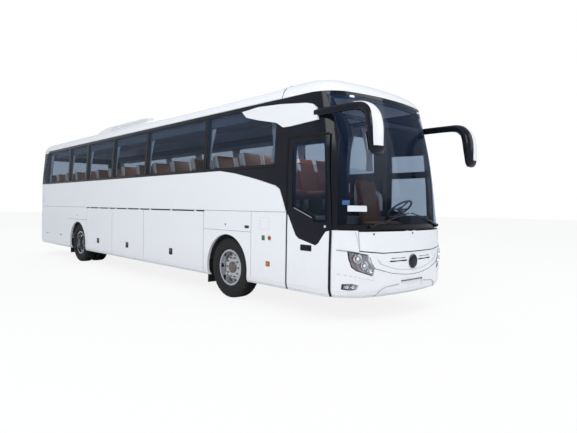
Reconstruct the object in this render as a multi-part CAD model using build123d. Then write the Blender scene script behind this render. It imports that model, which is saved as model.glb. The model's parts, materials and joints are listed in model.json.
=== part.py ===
"""A two-axle touring coach, thirteen metres long, left-hand drive, with its entrance door at the front right.

Frame: +X forward, +Y to the coach's left, +Z up, in millimetres. The origin lies on the ground under the
middle of the overall box, mirrors included. The right-hand side is the one at -Y.
"""

from build123d import *
import math
import os

os.makedirs("parts", exist_ok=True)

# ---- Driving dimensions ------------------------------------------------------------------------------
body_length = 13115
body_half_width = 1275
front_overhang = 2845
wheelbase = 6910
mirror_reach = 310          # mirror heads ahead of the nose
sill_height = 345
floor_height = 1420         # top of the saloon floor
flap_top = 1468             # top edge of the luggage flaps
belt_bottom = 1496          # lower edge of the white belt panel
belt_height = 2172          # lower edge of the side glass
band_top = 3200             # top of the black glass band, foot of the roof
roof_height = 3440
band_half_width = 1210      # half width at the top of the glass band
wall = 45                   # depth of the outer panels
frame_depth = 85            # inner face of the side frame, below the belt
glass = 8
seam = 6                    # gap between fixed panels
clear = 10                  # gap round a panel that moves
running = 0.3               # radial clearance of a turning fit

# ---- Stations along the coach ------------------------------------------------------------------------
x_nose = (body_length + mirror_reach) / 2 - mirror_reach
x_tail = x_nose - body_length
x_front = x_nose - front_overhang            # front axle
x_rear = x_front - wheelbase                 # rear axle
x_mirror_tip = x_nose + mirror_reach


def from_front(distance):
    """A station measured from the front axle, forward positive."""
    return x_front + distance


door_rear = from_front(1500)
door_front = from_front(2365)
screen_side = from_front(2390)              # rear edge of the windscreen, at its foot
door_top = 2575
glass_front = from_front(1200)               # front end of the first side pane
x_rear_joint = x_tail + 370                  # where the side panels meet the rear corner
flap_stations = [from_front(-702), from_front(-3030), from_front(-4660), from_front(-6240)]
pillar_stations = [from_front(d) for d in (-700, -2990, -4700, -6320, -7650)]
pillar_width = 110
roof_joint = from_front(1300)                # seam between the roof and its moulded front

# ---- Wheels and axles --------------------------------------------------------------------------------
tyre_radius = 520
tyre_width = 295
rim_radius = 292
axle_height = tyre_radius
wheel_plane = 1072                           # middle of the outer tyres
twin_spacing = 335                           # between the middles of twin tyres
kingpin_plane = 905
arch_radius = 572
hub_radius = 140
spindle_radius = 60

RIGHT, LEFT = -1, 1
SIDES = {"right": RIGHT, "left": LEFT}


# ---- Shape helpers -----------------------------------------------------------------------------------
def box(x0, x1, y0, y1, z0, z1):
    """A box from its limits; the two ends of an axis may come in either order."""
    size = (abs(x1 - x0), abs(y1 - y0), abs(z1 - z0))
    return Pos((x0 + x1) / 2, (y0 + y1) / 2, (z0 + z1) / 2) * Box(*size)


def side_box(side, x0, x1, inner, outer, z0, z1):
    """A box on one side of the coach, between two distances from the middle."""
    return box(x0, x1, side * inner, side * outer, z0, z1)


def rod(start, end, radius):
    """A round bar between two points."""
    a, b = Vector(*start), Vector(*end)
    plane = Plane(origin=a, z_dir=b - a)
    return extrude(plane * Circle(radius), (b - a).length)


def side_prism(points, side=None, grow=0):
    """A prism through the coach's width, from an outline of (x, z) points; one side only if side is given."""
    face = make_face(Polyline(*points, close=True))
    if grow:
        face = offset(face, amount=grow, kind=Kind.INTERSECTION)
    face = Plane.XZ * face
    reach = 2 * body_half_width
    prism = extrude(face, reach, both=True)
    if side is None:
        return prism
    return prism & box(x_tail - 100, x_mirror_tip + 100, 0, side * reach, -10, roof_height + 300)


def front_prism(points, length=900):
    """A prism along X through the nose, from an outline of (y, z) points."""
    face = Plane.YZ * make_face(Polyline(*points, close=True))
    return Pos(x_nose - length, 0, 0) * extrude(face, length + 200)


def mirrored(shape):
    return shape.mirror(Plane.XZ)


def save(shape, name):
    solids = list(shape.solids())
    export_step(Compound(children=solids) if len(solids) > 1 else solids[0], f"parts/{name}.step")


def save_pair(shape_for_right, name):
    """Write a right-hand shape and its mirror image as one node."""
    solids = list(shape_for_right.solids()) + list(mirrored(shape_for_right).solids())
    export_step(Compound(children=solids), f"parts/{name}.step")


# ---- Body envelope: horizontal sections, bottom to top -----------------------------------------------
# height, nose set back, tail set back, half width, width taken by a front corner
LOWER_SECTIONS = [
    (sill_height, 75, 40, body_half_width - 40, 425),
    (390, 22, 12, body_half_width - 12, 425),
    (450, 5, 0, body_half_width, 425),
    (850, 0, 0, body_half_width, 425),
    (1262, 38, 8, body_half_width, 425),
]
UPPER_SECTIONS = [
    (1262, 38, 8, body_half_width, 425),
    (1750, 110, 30, body_half_width, 400),
    (belt_height, 178, 50, body_half_width, 375),
    (2700, 290, 85, body_half_width - 33, 345),
    (band_top, 420, 130, band_half_width, 340),
]
ROOF_SECTIONS = [
    (band_top, 420, 130, band_half_width, 340),
    (band_top + 110, 510, 180, band_half_width - 42, 330),
    (band_top + 190, 640, 280, band_half_width - 130, 300),
    (roof_height, 900, 480, band_half_width - 350, 300),
]
nose_radius = 3600          # plan radius of the nose between its corners
tail_radius = 9000
tail_corner = 190           # width taken by a rear corner


def plan_face(section, depth=0, drop=0):
    """The body's outline at one height, inset by a depth, as a face."""
    height, nose_back, tail_back, half, corner = section

    def end_points(tip, radius, span, forward):
        start = math.asin((half - span) / radius)
        corner_radius = span / (1 - math.sin(start))
        centre_x = tip - forward * radius
        corner_x = centre_x + forward * (radius - corner_radius) * math.cos(start)
        corner_y = (half - span) - corner_radius * math.sin(start)
        r_mid, r_corner = radius - depth, corner_radius - depth
        middle = (start + math.pi / 2) / 2
        join = (centre_x + forward * r_mid * math.cos(start), r_mid * math.sin(start))
        bend = (corner_x + forward * r_corner * math.cos(middle), corner_y + r_corner * math.sin(middle))
        side = (corner_x, half - depth)
        return (centre_x + forward * r_mid, 0), join, bend, side

    nose, nose_join, nose_bend, nose_side = end_points(x_nose - nose_back, nose_radius, corner, 1)
    tail, tail_join, tail_bend, tail_side = end_points(x_tail + tail_back, tail_radius, tail_corner, -1)

    def down(point):
        return (point[0], -point[1])

    edges = [
        ThreePointArc(down(nose_join), nose, nose_join),
        ThreePointArc(nose_join, nose_bend, nose_side),
        Line(nose_side, tail_side),
        ThreePointArc(tail_side, tail_bend, tail_join),
        ThreePointArc(tail_join, tail, down(tail_join)),
        ThreePointArc(down(tail_join), down(tail_bend), down(tail_side)),
        Line(down(tail_side), down(nose_side)),
        ThreePointArc(down(nose_side), down(nose_bend), down(nose_join)),
    ]
    return Pos(0, 0, height - drop) * make_face(edges)


def envelope(depth):
    """The body's outer form from sill to the foot of the roof, inset by a depth."""
    lower = loft([plan_face(s, depth) for s in LOWER_SECTIONS], ruled=True)
    upper = loft([plan_face(s, depth) for s in UPPER_SECTIONS])
    return lower, upper


outer_lower, outer_upper = envelope(0)
inner_lower, inner_upper = envelope(wall)
glass_upper = envelope(glass)[1]
shell_lower = outer_lower - inner_lower
shell_upper = outer_upper - inner_upper
glass_skin = outer_upper - envelope(glass - running)[1]
glazed_wall = glass_upper - inner_upper


def shell_part(region):
    """The part of the body's wall that lies in a region, as one solid."""
    pieces = [shell_lower & region, shell_upper & region]
    pieces = [p for p in pieces if p is not None and p.solids()]
    return pieces[0] if len(pieces) == 1 else pieces[0] + pieces[1]


# ---- Flat side walls: slabs that follow the side's cross-section -------------------------------------
def side_slab(depth_out, depth_in, x0, x1, z0=sill_height, z1=band_top):
    """Right-hand wall between two depths from the outer face, over a length; the upper part leans in."""
    tuck, bend = 40, 105
    half = body_half_width

    def outline(depth):
        lean = band_half_width - depth
        return [(half - tuck - depth, sill_height), (half - 11 - depth, sill_height + 42),
                (half - depth, sill_height + bend), (half - depth, belt_height), (lean, band_top)]

    points = [(-y, z) for y, z in outline(depth_out)] + [(-y, z) for y, z in reversed(outline(depth_in))]
    face = Plane.YZ * make_face(Polyline(*points, close=True))
    slab = Pos(x0, 0, 0) * extrude(face, x1 - x0)
    return slab & box(x0, x1, 0, -2 * half, z0, z1)


# ---- Outlines on the side, seen from the right: (x, z) -----------------------------------------------
# The black glass area drops from the belt in a sweep towards the door.
SWEEP = [(from_front(-150), belt_height), (from_front(230), belt_height - 52), (from_front(780), belt_height - 162),
         (from_front(1250), belt_height - 278), (from_front(1345), belt_height - 330),
         (from_front(1450), belt_height - 560), (door_rear - seam, belt_bottom)]
# The entrance door's outline.
DOOR = [(door_rear, sill_height - 5), (door_front, sill_height - 5), (door_front, 1262),
        (door_front - 90, door_top), (door_rear, door_top)]
GLASS_TAIL = [(x_rear_joint + 330, band_top - 40), (x_rear_joint + 60, belt_height + 330),
              (x_rear_joint + 290, belt_height + 10)]

# ---- Roof --------------------------------------------------------------------------------------------
roof_outer = loft([plan_face(s) for s in ROOF_SECTIONS])
roof_inner = loft([plan_face(s, wall, wall) for s in ROOF_SECTIONS])
roof_cut = box(x_tail - 50, x_nose + 50, -1400, 1400, band_top, roof_height + 50)
roof_shell = (roof_outer - roof_inner) & roof_cut
roof_main = roof_shell & box(x_tail - 50, roof_joint - seam / 2, -1400, 1400, band_top, roof_height + 50)
roof_front = roof_shell & box(roof_joint + seam / 2, x_nose + 50, -1400, 1400, band_top, roof_height + 50)

hatch_size = 620
HATCHES = {"front": from_front(-1300), "rear": from_front(-8000)}   # centres of the roof hatches
for hatch_x in HATCHES.values():
    half_hatch = hatch_size / 2
    roof_main -= box(hatch_x - half_hatch, hatch_x + half_hatch, -half_hatch, half_hatch,
                     roof_height - 80, roof_height + 20)
save(roof_main, "roof")
save(roof_front, "roof_front")

# A raised lid on each hatch, hinged along its rear edge above the roof.
hatch_lid_rise = 45
lid_hinge_radius = 10
lid_hinge_z = roof_height + lid_hinge_radius + 2
for name, hatch_x in HATCHES.items():
    half_lid = hatch_size / 2 + 45
    lid = box(hatch_x - half_lid, hatch_x + half_lid, -half_lid, half_lid, roof_height + running,
              roof_height + hatch_lid_rise)
    lid = fillet(lid.edges().group_by(Axis.Z)[-1], 18)
    for side in (RIGHT, LEFT):
        lid += rod((hatch_x - half_lid, side * 120, lid_hinge_z), (hatch_x - half_lid, side * 260, lid_hinge_z),
                   lid_hinge_radius)
    save(lid, f"roof_hatch_{name}")

# ---- Air conditioner on the roof ---------------------------------------------------------------------
ac_rear, ac_front = from_front(-6900), from_front(-3270)
ac_height = 225
ac_half_width = 800
AC_PROFILE = [(ac_rear, 0), (ac_rear + 170, ac_height - 75), (ac_rear + 520, ac_height), (ac_front - 1080, ac_height),
              (ac_front - 420, ac_height - 75), (ac_front, 0)]
ac_face = Plane.XZ * make_face(Polyline(*[(x, roof_height + z) for x, z in AC_PROFILE], close=True))
ac_unit = extrude(ac_face, ac_half_width, both=True)
slope = 150
for side in (RIGHT, LEFT):
    wedge = Polyline((side * ac_half_width, roof_height + 40), (side * (ac_half_width + 50), roof_height + 40),
                     (side * (ac_half_width + 50), roof_height + ac_height + 20),
                     (side * (ac_half_width - slope), roof_height + ac_height + 20), close=True)
    ac_unit -= Pos(ac_rear - 10, 0, 0) * extrude(Plane.YZ * make_face(wedge), ac_front - ac_rear + 20)
save(ac_unit, "air_conditioner")

# ---- Side frames: rails and posts behind the panels, window frame behind the glass -------------------
window_frame_depth = 62
rail_z = {"sill": (sill_height + 45, sill_height + 125), "floor": (floor_height - 70, belt_bottom + 30),
          "belt": (belt_height - 60, belt_height + 18)}
frame_front = door_rear - clear
frame_rear = x_rear_joint + seam
hinge_z = flap_top + 12
hinge_depth = 10
hinge_tube = 7


def post(x, width, z0=sill_height + 45, z1=band_top):
    return side_slab(wall, frame_depth, x - width / 2, x + width / 2, z0, z1)


def window_frame():
    frame = side_slab(glass, window_frame_depth, frame_rear, frame_front, belt_height + 6,
                      band_top - running)
    ends = [frame_rear + 130] + sorted(pillar_stations) + [glass_front]
    for index, (x0, x1) in enumerate(zip(ends[:-1], ends[1:])):
        left = x0 + (250 if index == 0 else pillar_width / 2)
        right = x1 - (0 if index == len(ends) - 2 else pillar_width / 2)
        frame -= side_slab(-20, frame_depth + 20, left, right, belt_height + 50, band_top - 75)
    return frame


def side_frame_right():
    frame = window_frame()
    rear_arch, front_arch = x_rear, x_front
    clear_arch = arch_radius + 68
    for low, high in (rail_z["floor"], rail_z["belt"]):
        frame += side_slab(wall, frame_depth, frame_rear, frame_front, low, high)
    for x0, x1 in ((frame_rear, rear_arch - clear_arch), (rear_arch + clear_arch, front_arch - clear_arch),
                   (front_arch + clear_arch, frame_front)):
        frame += side_slab(wall, frame_depth, x0, x1, *rail_z["sill"])
    posts = flap_stations + [rear_arch - clear_arch - 40, rear_arch + clear_arch + 40, front_arch + clear_arch + 40,
                             frame_front - 35, frame_rear + 40]
    for x in posts:
        frame += post(x, 70, z1=belt_height + 10)
    # A tube along the top of the luggage flaps, on a bracket at each end of each flap.
    frame += rod((flap_stations[-1], -body_half_width + hinge_depth, hinge_z),
                 (flap_stations[0], -body_half_width + hinge_depth, hinge_z), hinge_tube)
    for x in flap_stations:
        frame += box(x - 3, x + 3, -body_half_width + 2, -body_half_width + wall, hinge_z - 9, hinge_z + 9)
    return frame


frame_right = side_frame_right()
save_pair(frame_right, "side_frames")


# ---- Side glass --------------------------------------------------------------------------------------
def side_glass_right():
    joint = 8
    ends = [x_rear_joint + 20] + sorted(pillar_stations) + [glass_front]
    panes = []
    for x0, x1 in zip(ends[:-1], ends[1:]):
        panes.append(side_slab(0, glass, x0 + joint / 2, x1 - joint / 2, belt_height + 6, band_top - seam))
    tail_cut = side_prism([(x_rear_joint - 50, belt_height - 10), (GLASS_TAIL[2][0], belt_height - 10)]
                          + GLASS_TAIL[::-1] + [(GLASS_TAIL[0][0], band_top + 10), (x_rear_joint - 50, band_top + 10)])
    panes[0] -= tail_cut
    # A plain black panel between the first pane and the door, down to the sweep of the belt.
    corner = side_slab(0, wall, SWEEP[0][0], frame_front, belt_bottom, band_top - seam)
    corner &= side_prism(SWEEP + [(door_rear - seam, band_top), (glass_front + joint / 2, band_top),
                                  (glass_front + joint / 2, belt_height), SWEEP[0]])
    corner -= frame_right
    return panes, corner


panes, corner_panel = side_glass_right()
save_pair(corner_panel, "corner_panels")


# ---- White belt panel, with the body-coloured pillar behind the last pane -----------------------------
def belt_panel_right():
    panel = side_slab(0, wall, x_rear_joint + seam / 2, door_rear - seam, belt_bottom, belt_height)
    outline = ([(x_rear_joint, belt_bottom), (x_rear_joint, belt_height), (SWEEP[0][0] - 60, belt_height)]
               + [(x - seam, z - seam) for x, z in SWEEP[:-1]] + [(SWEEP[-1][0] - seam, belt_bottom)])
    panel &= side_prism(outline)
    rear_pillar = side_slab(0, wall, x_rear_joint + seam / 2, x_rear_joint + 420, belt_height, band_top - seam)
    tail = [(x - seam, z) for x, z in GLASS_TAIL]
    rear_pillar &= side_prism([(x_rear_joint, belt_height), (tail[2][0], belt_height)] + tail[::-1]
                              + [(tail[0][0], band_top), (x_rear_joint, band_top)])
    return (panel + rear_pillar) - frame_right


belt_right = belt_panel_right()
save_pair(belt_right, "belt_panels")

# ---- Lower side panels around the wheels -------------------------------------------------------------


def arch(x, radius=arch_radius):
    return Pos(x, 0, axle_height) * Rot(90, 0, 0) * Cylinder(radius, 4 * body_half_width)


front_quarter_right = side_slab(0, wall, flap_stations[0] + seam, frame_front, sill_height, belt_bottom - seam)
front_quarter_right -= arch(x_front)
front_quarter_right -= box(flap_stations[0], flap_stations[0] + 20, -1400, 0, hinge_z - 20, hinge_z + 20)
save_pair(front_quarter_right, "front_quarters")

rear_quarter_right = side_slab(0, wall, x_rear_joint + seam / 2, flap_stations[-1] - seam, sill_height,
                               belt_bottom - seam)
rear_quarter_right -= arch(x_rear)
rear_quarter_right -= box(flap_stations[-1] - 20, flap_stations[-1], -1400, 0, hinge_z - 20, hinge_z + 20)
save_pair(rear_quarter_right, "rear_quarters")

# ---- Luggage flaps, hinged on the tube along their top edge -------------------------------------------
flap_thickness = 36
knuckle_radius = 11
knuckle_length = 70


def luggage_flap(index):
    x1, x0 = flap_stations[index] - clear, flap_stations[index + 1] + clear
    flap = side_slab(0, flap_thickness, x0, x1, sill_height, flap_top)
    for share in (0.12, 0.5, 0.88):
        x = x0 + share * (x1 - x0)
        ends = [(x - knuckle_length / 2, -body_half_width + hinge_depth, hinge_z),
                (x + knuckle_length / 2, -body_half_width + hinge_depth, hinge_z)]
        strap = box(ends[0][0], ends[1][0], -body_half_width + 2, -body_half_width + hinge_depth + 8,
                    flap_top - 6, hinge_z)
        flap += strap + rod(*ends, knuckle_radius)
        flap -= rod(*ends, hinge_tube + running)
    return flap


for index in range(3):
    flap = luggage_flap(index)
    save(flap, f"luggage_flap_right_{index + 1}")
    save(mirrored(flap), f"luggage_flap_left_{index + 1}")

# ---- Nose: windscreen, pillars, bumper, front flap, lamps --------------------------------------------
mask_top = 1262
screen_foot = mask_top + 16         # bottom of the windscreen
screen_bottom = 1350                # lower edge of its clear part
# Rear limit of the windscreen, bottom to top: it leans back with the pillar.
SCREEN_EDGE = [(screen_side + 70, mask_top), (screen_side + 40, screen_bottom), (screen_side + 20, 1940),
               (screen_side - 30, 2540), (screen_side - 100, 2780), (screen_side - 270, band_top)]
beyond = x_nose + 300
screen_region = side_prism(SCREEN_EDGE + [(beyond, band_top), (beyond, mask_top)])
windscreen = glass_skin & side_prism([(x + seam / 2, z) for x, z in SCREEN_EDGE] + [(beyond, band_top), (beyond, mask_top)])
windscreen &= box(x_front, beyond, -1400, 1400, screen_foot, band_top - seam)
save(windscreen, "windscreen")

# Inner rim of the windscreen opening: the frame stands this far inside the glass's edge.
rim = 75
screen_opening = (side_prism([(x + rim, z) for x, z in SCREEN_EDGE[1:-1]]
                             + [(SCREEN_EDGE[-1][0] + rim, band_top - 110), (beyond, band_top - 110),
                                (beyond, screen_bottom)]))
header_region = box(frame_front + running, beyond, -1400, 1400, screen_foot, band_top - running)
behind_glass = glazed_wall & screen_region & header_region
pillars = behind_glass - screen_opening

# Structure outboard of the windscreen: full-depth wall between it and the door or the driver's window.
wall_region = header_region - screen_region
side_wall_part = shell_upper & wall_region
door_hole = side_prism(DOOR, RIGHT, clear)
window_bottom = 1500
DRIVER_WINDOW = [(door_rear + 60, window_bottom + 60), (door_rear + 430, window_bottom - 60),
                 (door_front - 30, window_bottom - 80), (door_front - 90, 2480), (door_rear + 60, 2500)]
driver_hole = side_prism(DRIVER_WINDOW, LEFT)
cab_frame = (side_wall_part - door_hole - driver_hole) + pillars
# The tube that the front flap hangs from, under the windscreen.
front_hinge_z = screen_foot - 20
front_hinge_x = x_nose - LOWER_SECTIONS[-1][1] - 14
cab_frame += rod((front_hinge_x, -145, front_hinge_z), (front_hinge_x, 145, front_hinge_z), hinge_tube)
for y in (-142, 0, 142):
    cab_frame += box(front_hinge_x - 5, front_hinge_x + 5, y - 3, y + 3, front_hinge_z, screen_foot + 4)
cab_frame -= windscreen
save(cab_frame, "cab_frame")

driver_glass = glass_skin & driver_hole

# White lower front: everything below the windscreen ahead of the door, minus the parts set into it.
mask_region = box(door_front + clear, beyond, -1400, 0, 0, mask_top) + box(frame_front + seam, beyond, 0, 1400,
                                                                           0, mask_top)
mask = shell_lower & mask_region
flap_half, flap_low, flap_high = 1010, 944, mask_top + 5
flap_gap = 14
front_flap_region = front_prism([(-flap_half, flap_low + 35), (-640, flap_low), (640, flap_low),
                                 (flap_half, flap_low + 35), (flap_half, flap_high), (-flap_half, flap_high)])
HEADLAMP = [(-1135, 985), (-890, 940), (-868, 840), (-785, 745), (-812, 640), (-940, 682), (-1050, 722),
            (-1103, 770), (-1130, 880)]
FOG_LAMP = [(-1185, 470), (-1180, 545), (-1090, 552), (-1015, 530), (-1035, 470), (-1110, 458)]
lamp_prisms = [front_prism(outline) for outline in (HEADLAMP, FOG_LAMP)]
lamp_prisms += [mirrored(p) for p in lamp_prisms]
plate_recess = front_prism([(-270, 425), (270, 425), (270, 548), (-270, 548)])
bumper = mask - front_flap_region
for prism in lamp_prisms:
    bumper -= prism
bumper -= plate_recess & box(x_nose - 22, beyond, -300, 300, 0, 900)
save(bumper, "front_bumper")

lamps = [shell_lower & prism for prism in lamp_prisms]
lamp_solids = [s for lamp in lamps for s in lamp.solids() if s.center().X > x_front]
save(Compound(children=lamp_solids), "front_lamps")

front_flap = (outer_lower - envelope(flap_gap)[0]) & front_prism(
    [(-flap_half + flap_gap, flap_low + 36 + flap_gap), (-632, flap_low + flap_gap), (632, flap_low + flap_gap),
     (flap_half - flap_gap, flap_low + 36 + flap_gap), (flap_half - flap_gap, front_hinge_z - 12),
     (-flap_half + flap_gap, front_hinge_z - 12)])
front_flap &= box(x_front, beyond, -1400, 1400, 0, 1300)
for side in (RIGHT, LEFT):
    ends = [(front_hinge_x, side * 60, front_hinge_z), (front_hinge_x, side * 130, front_hinge_z)]
    front_flap += box(front_hinge_x - 6, front_hinge_x + 8, side * 60, side * 130, front_hinge_z - 30, front_hinge_z)
    front_flap += rod(*ends, knuckle_radius)
    front_flap -= rod((front_hinge_x, side * 50, front_hinge_z), (front_hinge_x, side * 140, front_hinge_z),
                      hinge_tube + running)
save(front_flap, "front_flap")

# ---- Tail: wall, window, engine hatch, bumper, lamps --------------------------------------------------
tail_region = box(x_tail - 50, x_rear_joint - seam / 2, -1400, 1400, 0, band_top - running)


def tail_prism(points, length=600):
    """A prism along X through the tail, from an outline of (y, z) points."""
    face = Plane.YZ * make_face(Polyline(*points, close=True))
    return Pos(x_tail - 100, 0, 0) * extrude(face, length)


bumper_top = 860
hatch_half, hatch_low, hatch_high = 880, bumper_top + seam, 1620
window_half, window_low, window_high = 1010, belt_height - 20, 3010
TAIL_LAMP = [(-1170, 900), (-960, 900), (-960, 1080), (-1000, 1420), (-1150, 1420)]
hatch_hole = tail_prism([(-hatch_half, hatch_low), (hatch_half, hatch_low), (hatch_half, hatch_high),
                         (-hatch_half, hatch_high)])
window_sheet = tail_prism([(-window_half, window_low), (window_half, window_low),
                           (window_half - 60, window_high), (60 - window_half, window_high)])
window_opening = tail_prism([(50 - window_half, window_low + 50), (window_half - 50, window_low + 50),
                             (window_half - 110, window_high - 50), (110 - window_half, window_high - 50)])
tail_lamp_prisms = [tail_prism(TAIL_LAMP), mirrored(tail_prism(TAIL_LAMP))]

tail_upper = shell_upper & tail_region
rear_window = glass_skin & tail_region & window_sheet
tail_lower = shell_lower & tail_region & box(x_tail - 50, x_rear_joint, -1400, 1400, bumper_top + seam, 1262)
rear_wall = (tail_upper + tail_lower) - hatch_hole - (window_sheet - glass_upper)
rear_wall -= window_opening
for side in (RIGHT, LEFT):
    rear_wall += rod((x_tail + 36, side * 138, hatch_high - 16), (x_tail + 36, side * 252, hatch_high - 16), hinge_tube)
    for y in (142, 248):
        rear_wall += box(x_tail + 30, x_tail + 42, side * y - 4, side * y + 4, hatch_high - 16, hatch_high + 4)
for prism in tail_lamp_prisms:
    rear_wall -= prism
save(rear_wall, "rear_wall")
save(Compound(children=panes + [mirrored(p) for p in panes] + list(driver_glass.solids())
              + list(rear_window.solids())), "body_glass")
tail_lamps = [(shell_lower + shell_upper) & tail_region & prism for prism in tail_lamp_prisms]
save(Compound(children=[s for lamp in tail_lamps for s in lamp.solids()]), "tail_lamps")

rear_bumper = shell_lower & box(x_tail - 50, x_rear_joint - seam / 2, -1400, 1400, sill_height - 10, bumper_top)
rear_plate_recess = box(x_tail - 50, x_tail + 20, -270, 270, 640, 760)
rear_bumper -= rear_plate_recess
save(rear_bumper, "rear_bumper")

# The engine hatch turns on a tube near its top edge, set just inside the skin.
hatch_hinge_z = hatch_high - 16
hatch_hinge_x = x_tail + 36
hatch_thickness = 24
hatch_skin_lower = outer_lower - envelope(hatch_thickness)[0]
hatch_skin_upper = outer_upper - envelope(hatch_thickness)[1]
hatch_outline = tail_prism([(clear - hatch_half, hatch_low + clear), (hatch_half - clear, hatch_low + clear),
                            (hatch_half - clear, hatch_hinge_z - 12), (clear - hatch_half, hatch_hinge_z - 12)])
engine_hatch = (hatch_skin_lower + hatch_skin_upper) & hatch_outline & tail_region
for side in (RIGHT, LEFT):
    ends = [(hatch_hinge_x, side * 160, hatch_hinge_z), (hatch_hinge_x, side * 230, hatch_hinge_z)]
    engine_hatch += box(hatch_hinge_x - 8, hatch_hinge_x + 8, side * 160, side * 230,
                        hatch_hinge_z - 30, hatch_hinge_z)
    engine_hatch += rod(*ends, knuckle_radius)
    engine_hatch -= rod((hatch_hinge_x, side * 150, hatch_hinge_z), (hatch_hinge_x, side * 240, hatch_hinge_z),
                        hinge_tube + running)
save(engine_hatch, "engine_hatch")

# ---- Floors, bulkheads, stairs -----------------------------------------------------------------------
cab_floor_height = 900
plate = 30
inner_side = body_half_width - frame_depth                 # inner face of the side frames
well_rear, well_front = frame_front + running, door_front + 3 * clear
well_inner = 330
floor_front = well_rear
hold_floor_low, hold_floor_high = sill_height + 105, sill_height + 145
floor_under = floor_height - 40

saloon_floor = inner_upper & box(x_tail, floor_front, -inner_side, inner_side, floor_height - 40, floor_height)
save(saloon_floor, "saloon_floor")

hold_floor = box(flap_stations[-1] + plate, flap_stations[0] - plate, -inner_side, inner_side,
                 hold_floor_low, hold_floor_high)
for x in (flap_stations[1], flap_stations[2]):
    hold_floor += box(x - plate / 2, x + plate / 2, -inner_side, inner_side, hold_floor_high, floor_under)
for x0, x1 in ((flap_stations[0] - plate, flap_stations[0]), (flap_stations[-1], flap_stations[-1] + plate)):
    hold_floor += box(x0, x1, -inner_side, inner_side, hold_floor_low, floor_under)
save(hold_floor, "luggage_hold")

# Cab floor and bulkhead, with the stair well cut out of its right-hand side.
inside_lower = envelope(wall + running)[0]
cab_slab = inside_lower & box(well_rear, x_nose, -1400, 1400, cab_floor_height - 40, cab_floor_height)
cab_slab -= box(well_rear - 10, well_front, -1400, -well_inner, 0, cab_floor_height + 10)
cab_floor = cab_slab + box(well_rear - plate, well_rear, -inner_side, inner_side, hold_floor_low, floor_under)
step_rise = (cab_floor_height - 400) / 2
STAIR = [(-inner_side, 400), (-930, 400), (-930, 400 + step_rise), (-630, 400 + step_rise),
         (-630, cab_floor_height), (-well_inner, cab_floor_height)]
stair_under = [(y + 25, z - 25) for y, z in STAIR[::-1]]
stair_under[0] = (-well_inner, cab_floor_height - 25)
stair_under[-1] = (-inner_side, 375)
stair_face = Plane.YZ * make_face(Polyline(*(STAIR + stair_under), close=True))
step_gap = 45                                              # between the lowest step and the closed door
stairs = Pos(well_rear, 0, 0) * extrude(stair_face, well_front - well_rear) & envelope(wall + step_gap)[0]
step_up = box(floor_front, well_rear + 260, -well_inner, well_inner, cab_floor_height,
              (cab_floor_height + floor_height) / 2)
well_wall = inside_lower & box(well_front, well_front + 20, -inner_side, -well_inner, 375, cab_floor_height)
cab_floor = cab_floor + stairs + step_up + well_wall
save(cab_floor, "cab_floor")

# ---- Subframes that carry the axles and the engine ---------------------------------------------------
rail_y, rail_half, rail_low, rail_high = 420, 40, 640, 760
rails = []
for side in (RIGHT, LEFT):
    low, high = side * rail_y - rail_half, side * rail_y + rail_half
    rails.append(box(flap_stations[0], well_rear - plate, low, high, rail_low, rail_high))
    rails.append(inner_lower & box(x_tail, flap_stations[-1], low, high, rail_low, rail_high))
front_cross = box(x_front - 420, x_front - 340, -rail_y, rail_y, rail_low + 20, rail_high - 20)
rear_cross = box(x_rear + 330, x_rear + 410, -rail_y, rail_y, rail_low + 20, rail_high - 20)
front_subframe = rails[0] + rails[2] + front_cross
rear_subframe = rails[1] + rails[3] + rear_cross
save(Compound(children=[front_subframe.solid(), rear_subframe.solid()]), "subframes")

engine = box(x_tail + 330, x_tail + 1530, -460, 460, rail_high + running, floor_height - 90)
save(engine, "engine")

# ---- Wheels ------------------------------------------------------------------------------------------
bead = tyre_width / 2 - 63
TYRE = [(bead, rim_radius + running), (bead + 16, rim_radius + 18), (tyre_width / 2, 395), (tyre_width / 2 - 6, 470),
        (122, tyre_radius - 12), (96, tyre_radius)]
tyre_points = TYRE + [(-y, r) for y, r in TYRE[::-1]]


def revolved(points):
    """A ring about the Y axis through the origin, from (y, radius) points."""
    face = Plane.XY * make_face(Polyline(*[(r, y) for y, r in points], close=True))
    return revolve(face, Axis.Y)


def wheel_disc(offset, dish):
    """A pressed steel wheel: barrel, dished disc and hub flange; offset is the disc's place, outward positive."""
    half_barrel = tyre_width / 2 - 32
    barrel = revolved([(-half_barrel, rim_radius), (-half_barrel, rim_radius + 16), (-half_barrel + 14, rim_radius + 16),
                       (-half_barrel + 30, rim_radius), (half_barrel - 30, rim_radius),
                       (half_barrel - 14, rim_radius + 16), (half_barrel, rim_radius + 16), (half_barrel, rim_radius),
                       (half_barrel, rim_radius - 14), (-half_barrel, rim_radius - 14)])
    disc = revolved([(offset, spindle_radius + running), (offset, 190), (offset - dish, rim_radius - 8),
                     (offset - dish - 14, rim_radius - 8), (offset - 14, 185), (offset - 14, spindle_radius + running)])
    holes = PolarLocations(235, 10)
    for place in holes:
        disc -= Rot(90, 0, 0) * place * Cylinder(27, 400)
    return barrel + disc


tyre = revolved([(y, r) for y, r in tyre_points])


def at_wheel(shape, x, side, plane):
    """A wheel part built outward along +Y, put at a wheel's place."""
    shape = shape if side == LEFT else mirrored(shape)
    return Pos(x, side * plane, axle_height) * shape


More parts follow.
